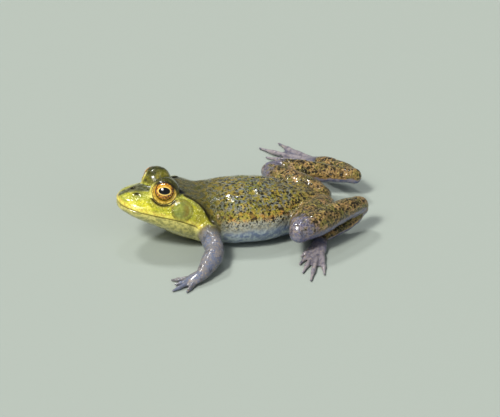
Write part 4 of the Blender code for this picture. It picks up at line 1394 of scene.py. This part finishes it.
def frogEye():
    made, shader = newMaterial("bullfrogEye", eyeLook)
    ahead, upward = mask("ahead"), mask("upward")
    radius = (ahead * ahead + upward * upward) ** 0.5
    wide, high = eyeLook["pupilSize"]
    pupil = ((ahead / wide) * (ahead / wide) + (upward / high) * (upward / high)) ** 0.5
    place = Flow.node("CombineXYZ", {}, {"X": ahead, "Y": upward, "Z": 0.0})
    turn = Flow.node("Math", {"operation": "ARCTAN2"}, {0: upward, 1: ahead})
    rays = Flow.node("CombineXYZ", {}, {"X": turn * 3.0, "Y": radius * 0.5, "Z": 0.0})
    iris = layered(
        clouds(noise(rays, 0.55), 0.40, 0.60, "iris"),
        (noise(place, 0.9, 4.0, 0.7).between(0.49, 0.56) * 0.92, "fleck"),
        (upward.between(1.4, 3.0) * (1 - upward.between(3.2, 4.2)) * 0.35, "glow"),
        # a golden ring near the lids, dark on both sides of it, and one round the pupil
        (radius.between(4.5, 5.15) * 0.9, "darkRing"),
        (radius.between(5.38, 5.52), "goldRing"),
        (radius.between(5.85, 5.98), "rim"),
        (pupil.between(1.30, 1.19), "pupilRing"),
        (pupil.between(1.08, 0.98), "pupil"),
        (mask("outward").between(1.8, 0.8), "hidden"),
    )
    Flow.feed(shader["Base Color"], iris)
    shader["Roughness"].default_value = eyeLook["roughness"]
    shader["Coat Weight"].default_value = 1.0
    shader["Coat Roughness"].default_value = eyeLook["coatRoughness"]
    return made


skin.data.materials.clear()
skin.data.materials.append(frogSkin())
eyeMaterial = frogEye()
for piece in eyePieces.values():
    piece.data.materials.append(eyeMaterial)
print("materials mixed")

skin.name = "bullfrog_skin"
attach(skin, "root")
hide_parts(*[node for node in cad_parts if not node.startswith("eye")])
for side, name in ((1, "left"), (-1, "right")):
    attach(eyePieces[side], "root")
    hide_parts(f"eye_{name}")

studio = {
    "azimuth": -10.0,
    "elevation": 27.0,
    "distance": 2.6,
    "width": 0.2900,
    # the middle of the view, from the middle of the object's box
    "aim": (0.0039, -0.0143, -0.0095),
    "floor": (0.28, 0.32, 0.295),
    "floorReach": 6.0,
    "world": (0.84, 0.86, 0.86),
    "worldStrength": 0.22,
    "lampDistance": 3.0,
}


def axesOf(azimuth, elevation):
    # right, up and backwards of a camera that looks at the frog from there
    a, e = np.radians(azimuth), np.radians(elevation)
    back = np.array((np.sin(a) * np.cos(e), -np.cos(a) * np.cos(e), np.sin(e)))
    right = np.array((np.cos(a), np.sin(a), 0.0))
    return right, np.cross(back, right), back


def placed(thing, name, middle, azimuth, elevation, distance):
    right, up, back = axesOf(azimuth, elevation)
    made = linked(name, thing)
    turn = Matrix((right, up, back)).transposed().to_4x4()
    made.matrix_world = Matrix.Translation(Vector(middle) + Vector(back) * distance) @ turn
    return made


middle = (np.array(cadBox[0]) + np.array(cadBox[1])) / 2 + np.array(studio["aim"])
lens = bpy.data.cameras.new("camera")
lens.angle = 2 * np.arctan(studio["width"] / 2 / studio["distance"])
lens.clip_start, lens.clip_end = 0.05, 50.0
camera = placed(lens, "camera", middle, studio["azimuth"], studio["elevation"], studio["distance"])
bpy.context.scene.camera = camera

# far lamps, so that the floor is lit alike all over: name, azimuth, elevation, the angle that the lamp
# spans in degrees, strength, colour, whether wet skin mirrors it
lamps = (
    ("key", -48.0, 50.0, 11.5, 3.0, (1.0, 0.97, 0.90), True),
    ("halo", -46.0, 46.0, 28.0, 1.3, (1.0, 0.97, 0.90), True),
    ("edge", -150.0, 55.0, 9.5, 1.4, (1.0, 0.98, 0.94), True),
    ("top", 172.0, 67.0, 3.4, 0.3, (0.96, 0.98, 1.0), True),
    ("fill", 30.0, 26.0, 45.0, 0.80, (0.92, 0.96, 1.0), False),
)
for name, azimuth, elevation, span, strength, colour, shines in lamps:
    light = bpy.data.lights.new(name, "SUN")
    light.angle, light.energy, light.color = np.radians(span), strength, colour
    lamp = placed(light, name, middle, azimuth, elevation, studio["lampDistance"])
    lamp.visible_glossy = shines

floorMesh = bpy.data.meshes.new("floor")
reach = studio["floorReach"]
corners = [(-reach, -reach, 0), (reach, -reach, 0), (reach, reach, 0), (-reach, reach, 0)]
floorMesh.from_pydata(corners, [], [(0, 1, 2, 3)])
floor = linked("floor", floorMesh)
floorMaterial, shader = newMaterial("paleFloor", studio)
shader["Base Color"].default_value = (*studio["floor"], 1.0)
shader["Roughness"].default_value = 0.7
floorMesh.materials.append(floorMaterial)

world = bpy.data.worlds.new("studio")
bpy.context.scene.world = world
world.use_nodes = True
backdrop = world.node_tree.nodes["Background"].inputs
backdrop["Color"].default_value = (*studio["world"], 1.0)
backdrop["Strength"].default_value = studio["worldStrength"]
bpy.context.scene.view_settings.view_transform = "Standard"
print("studio lit")
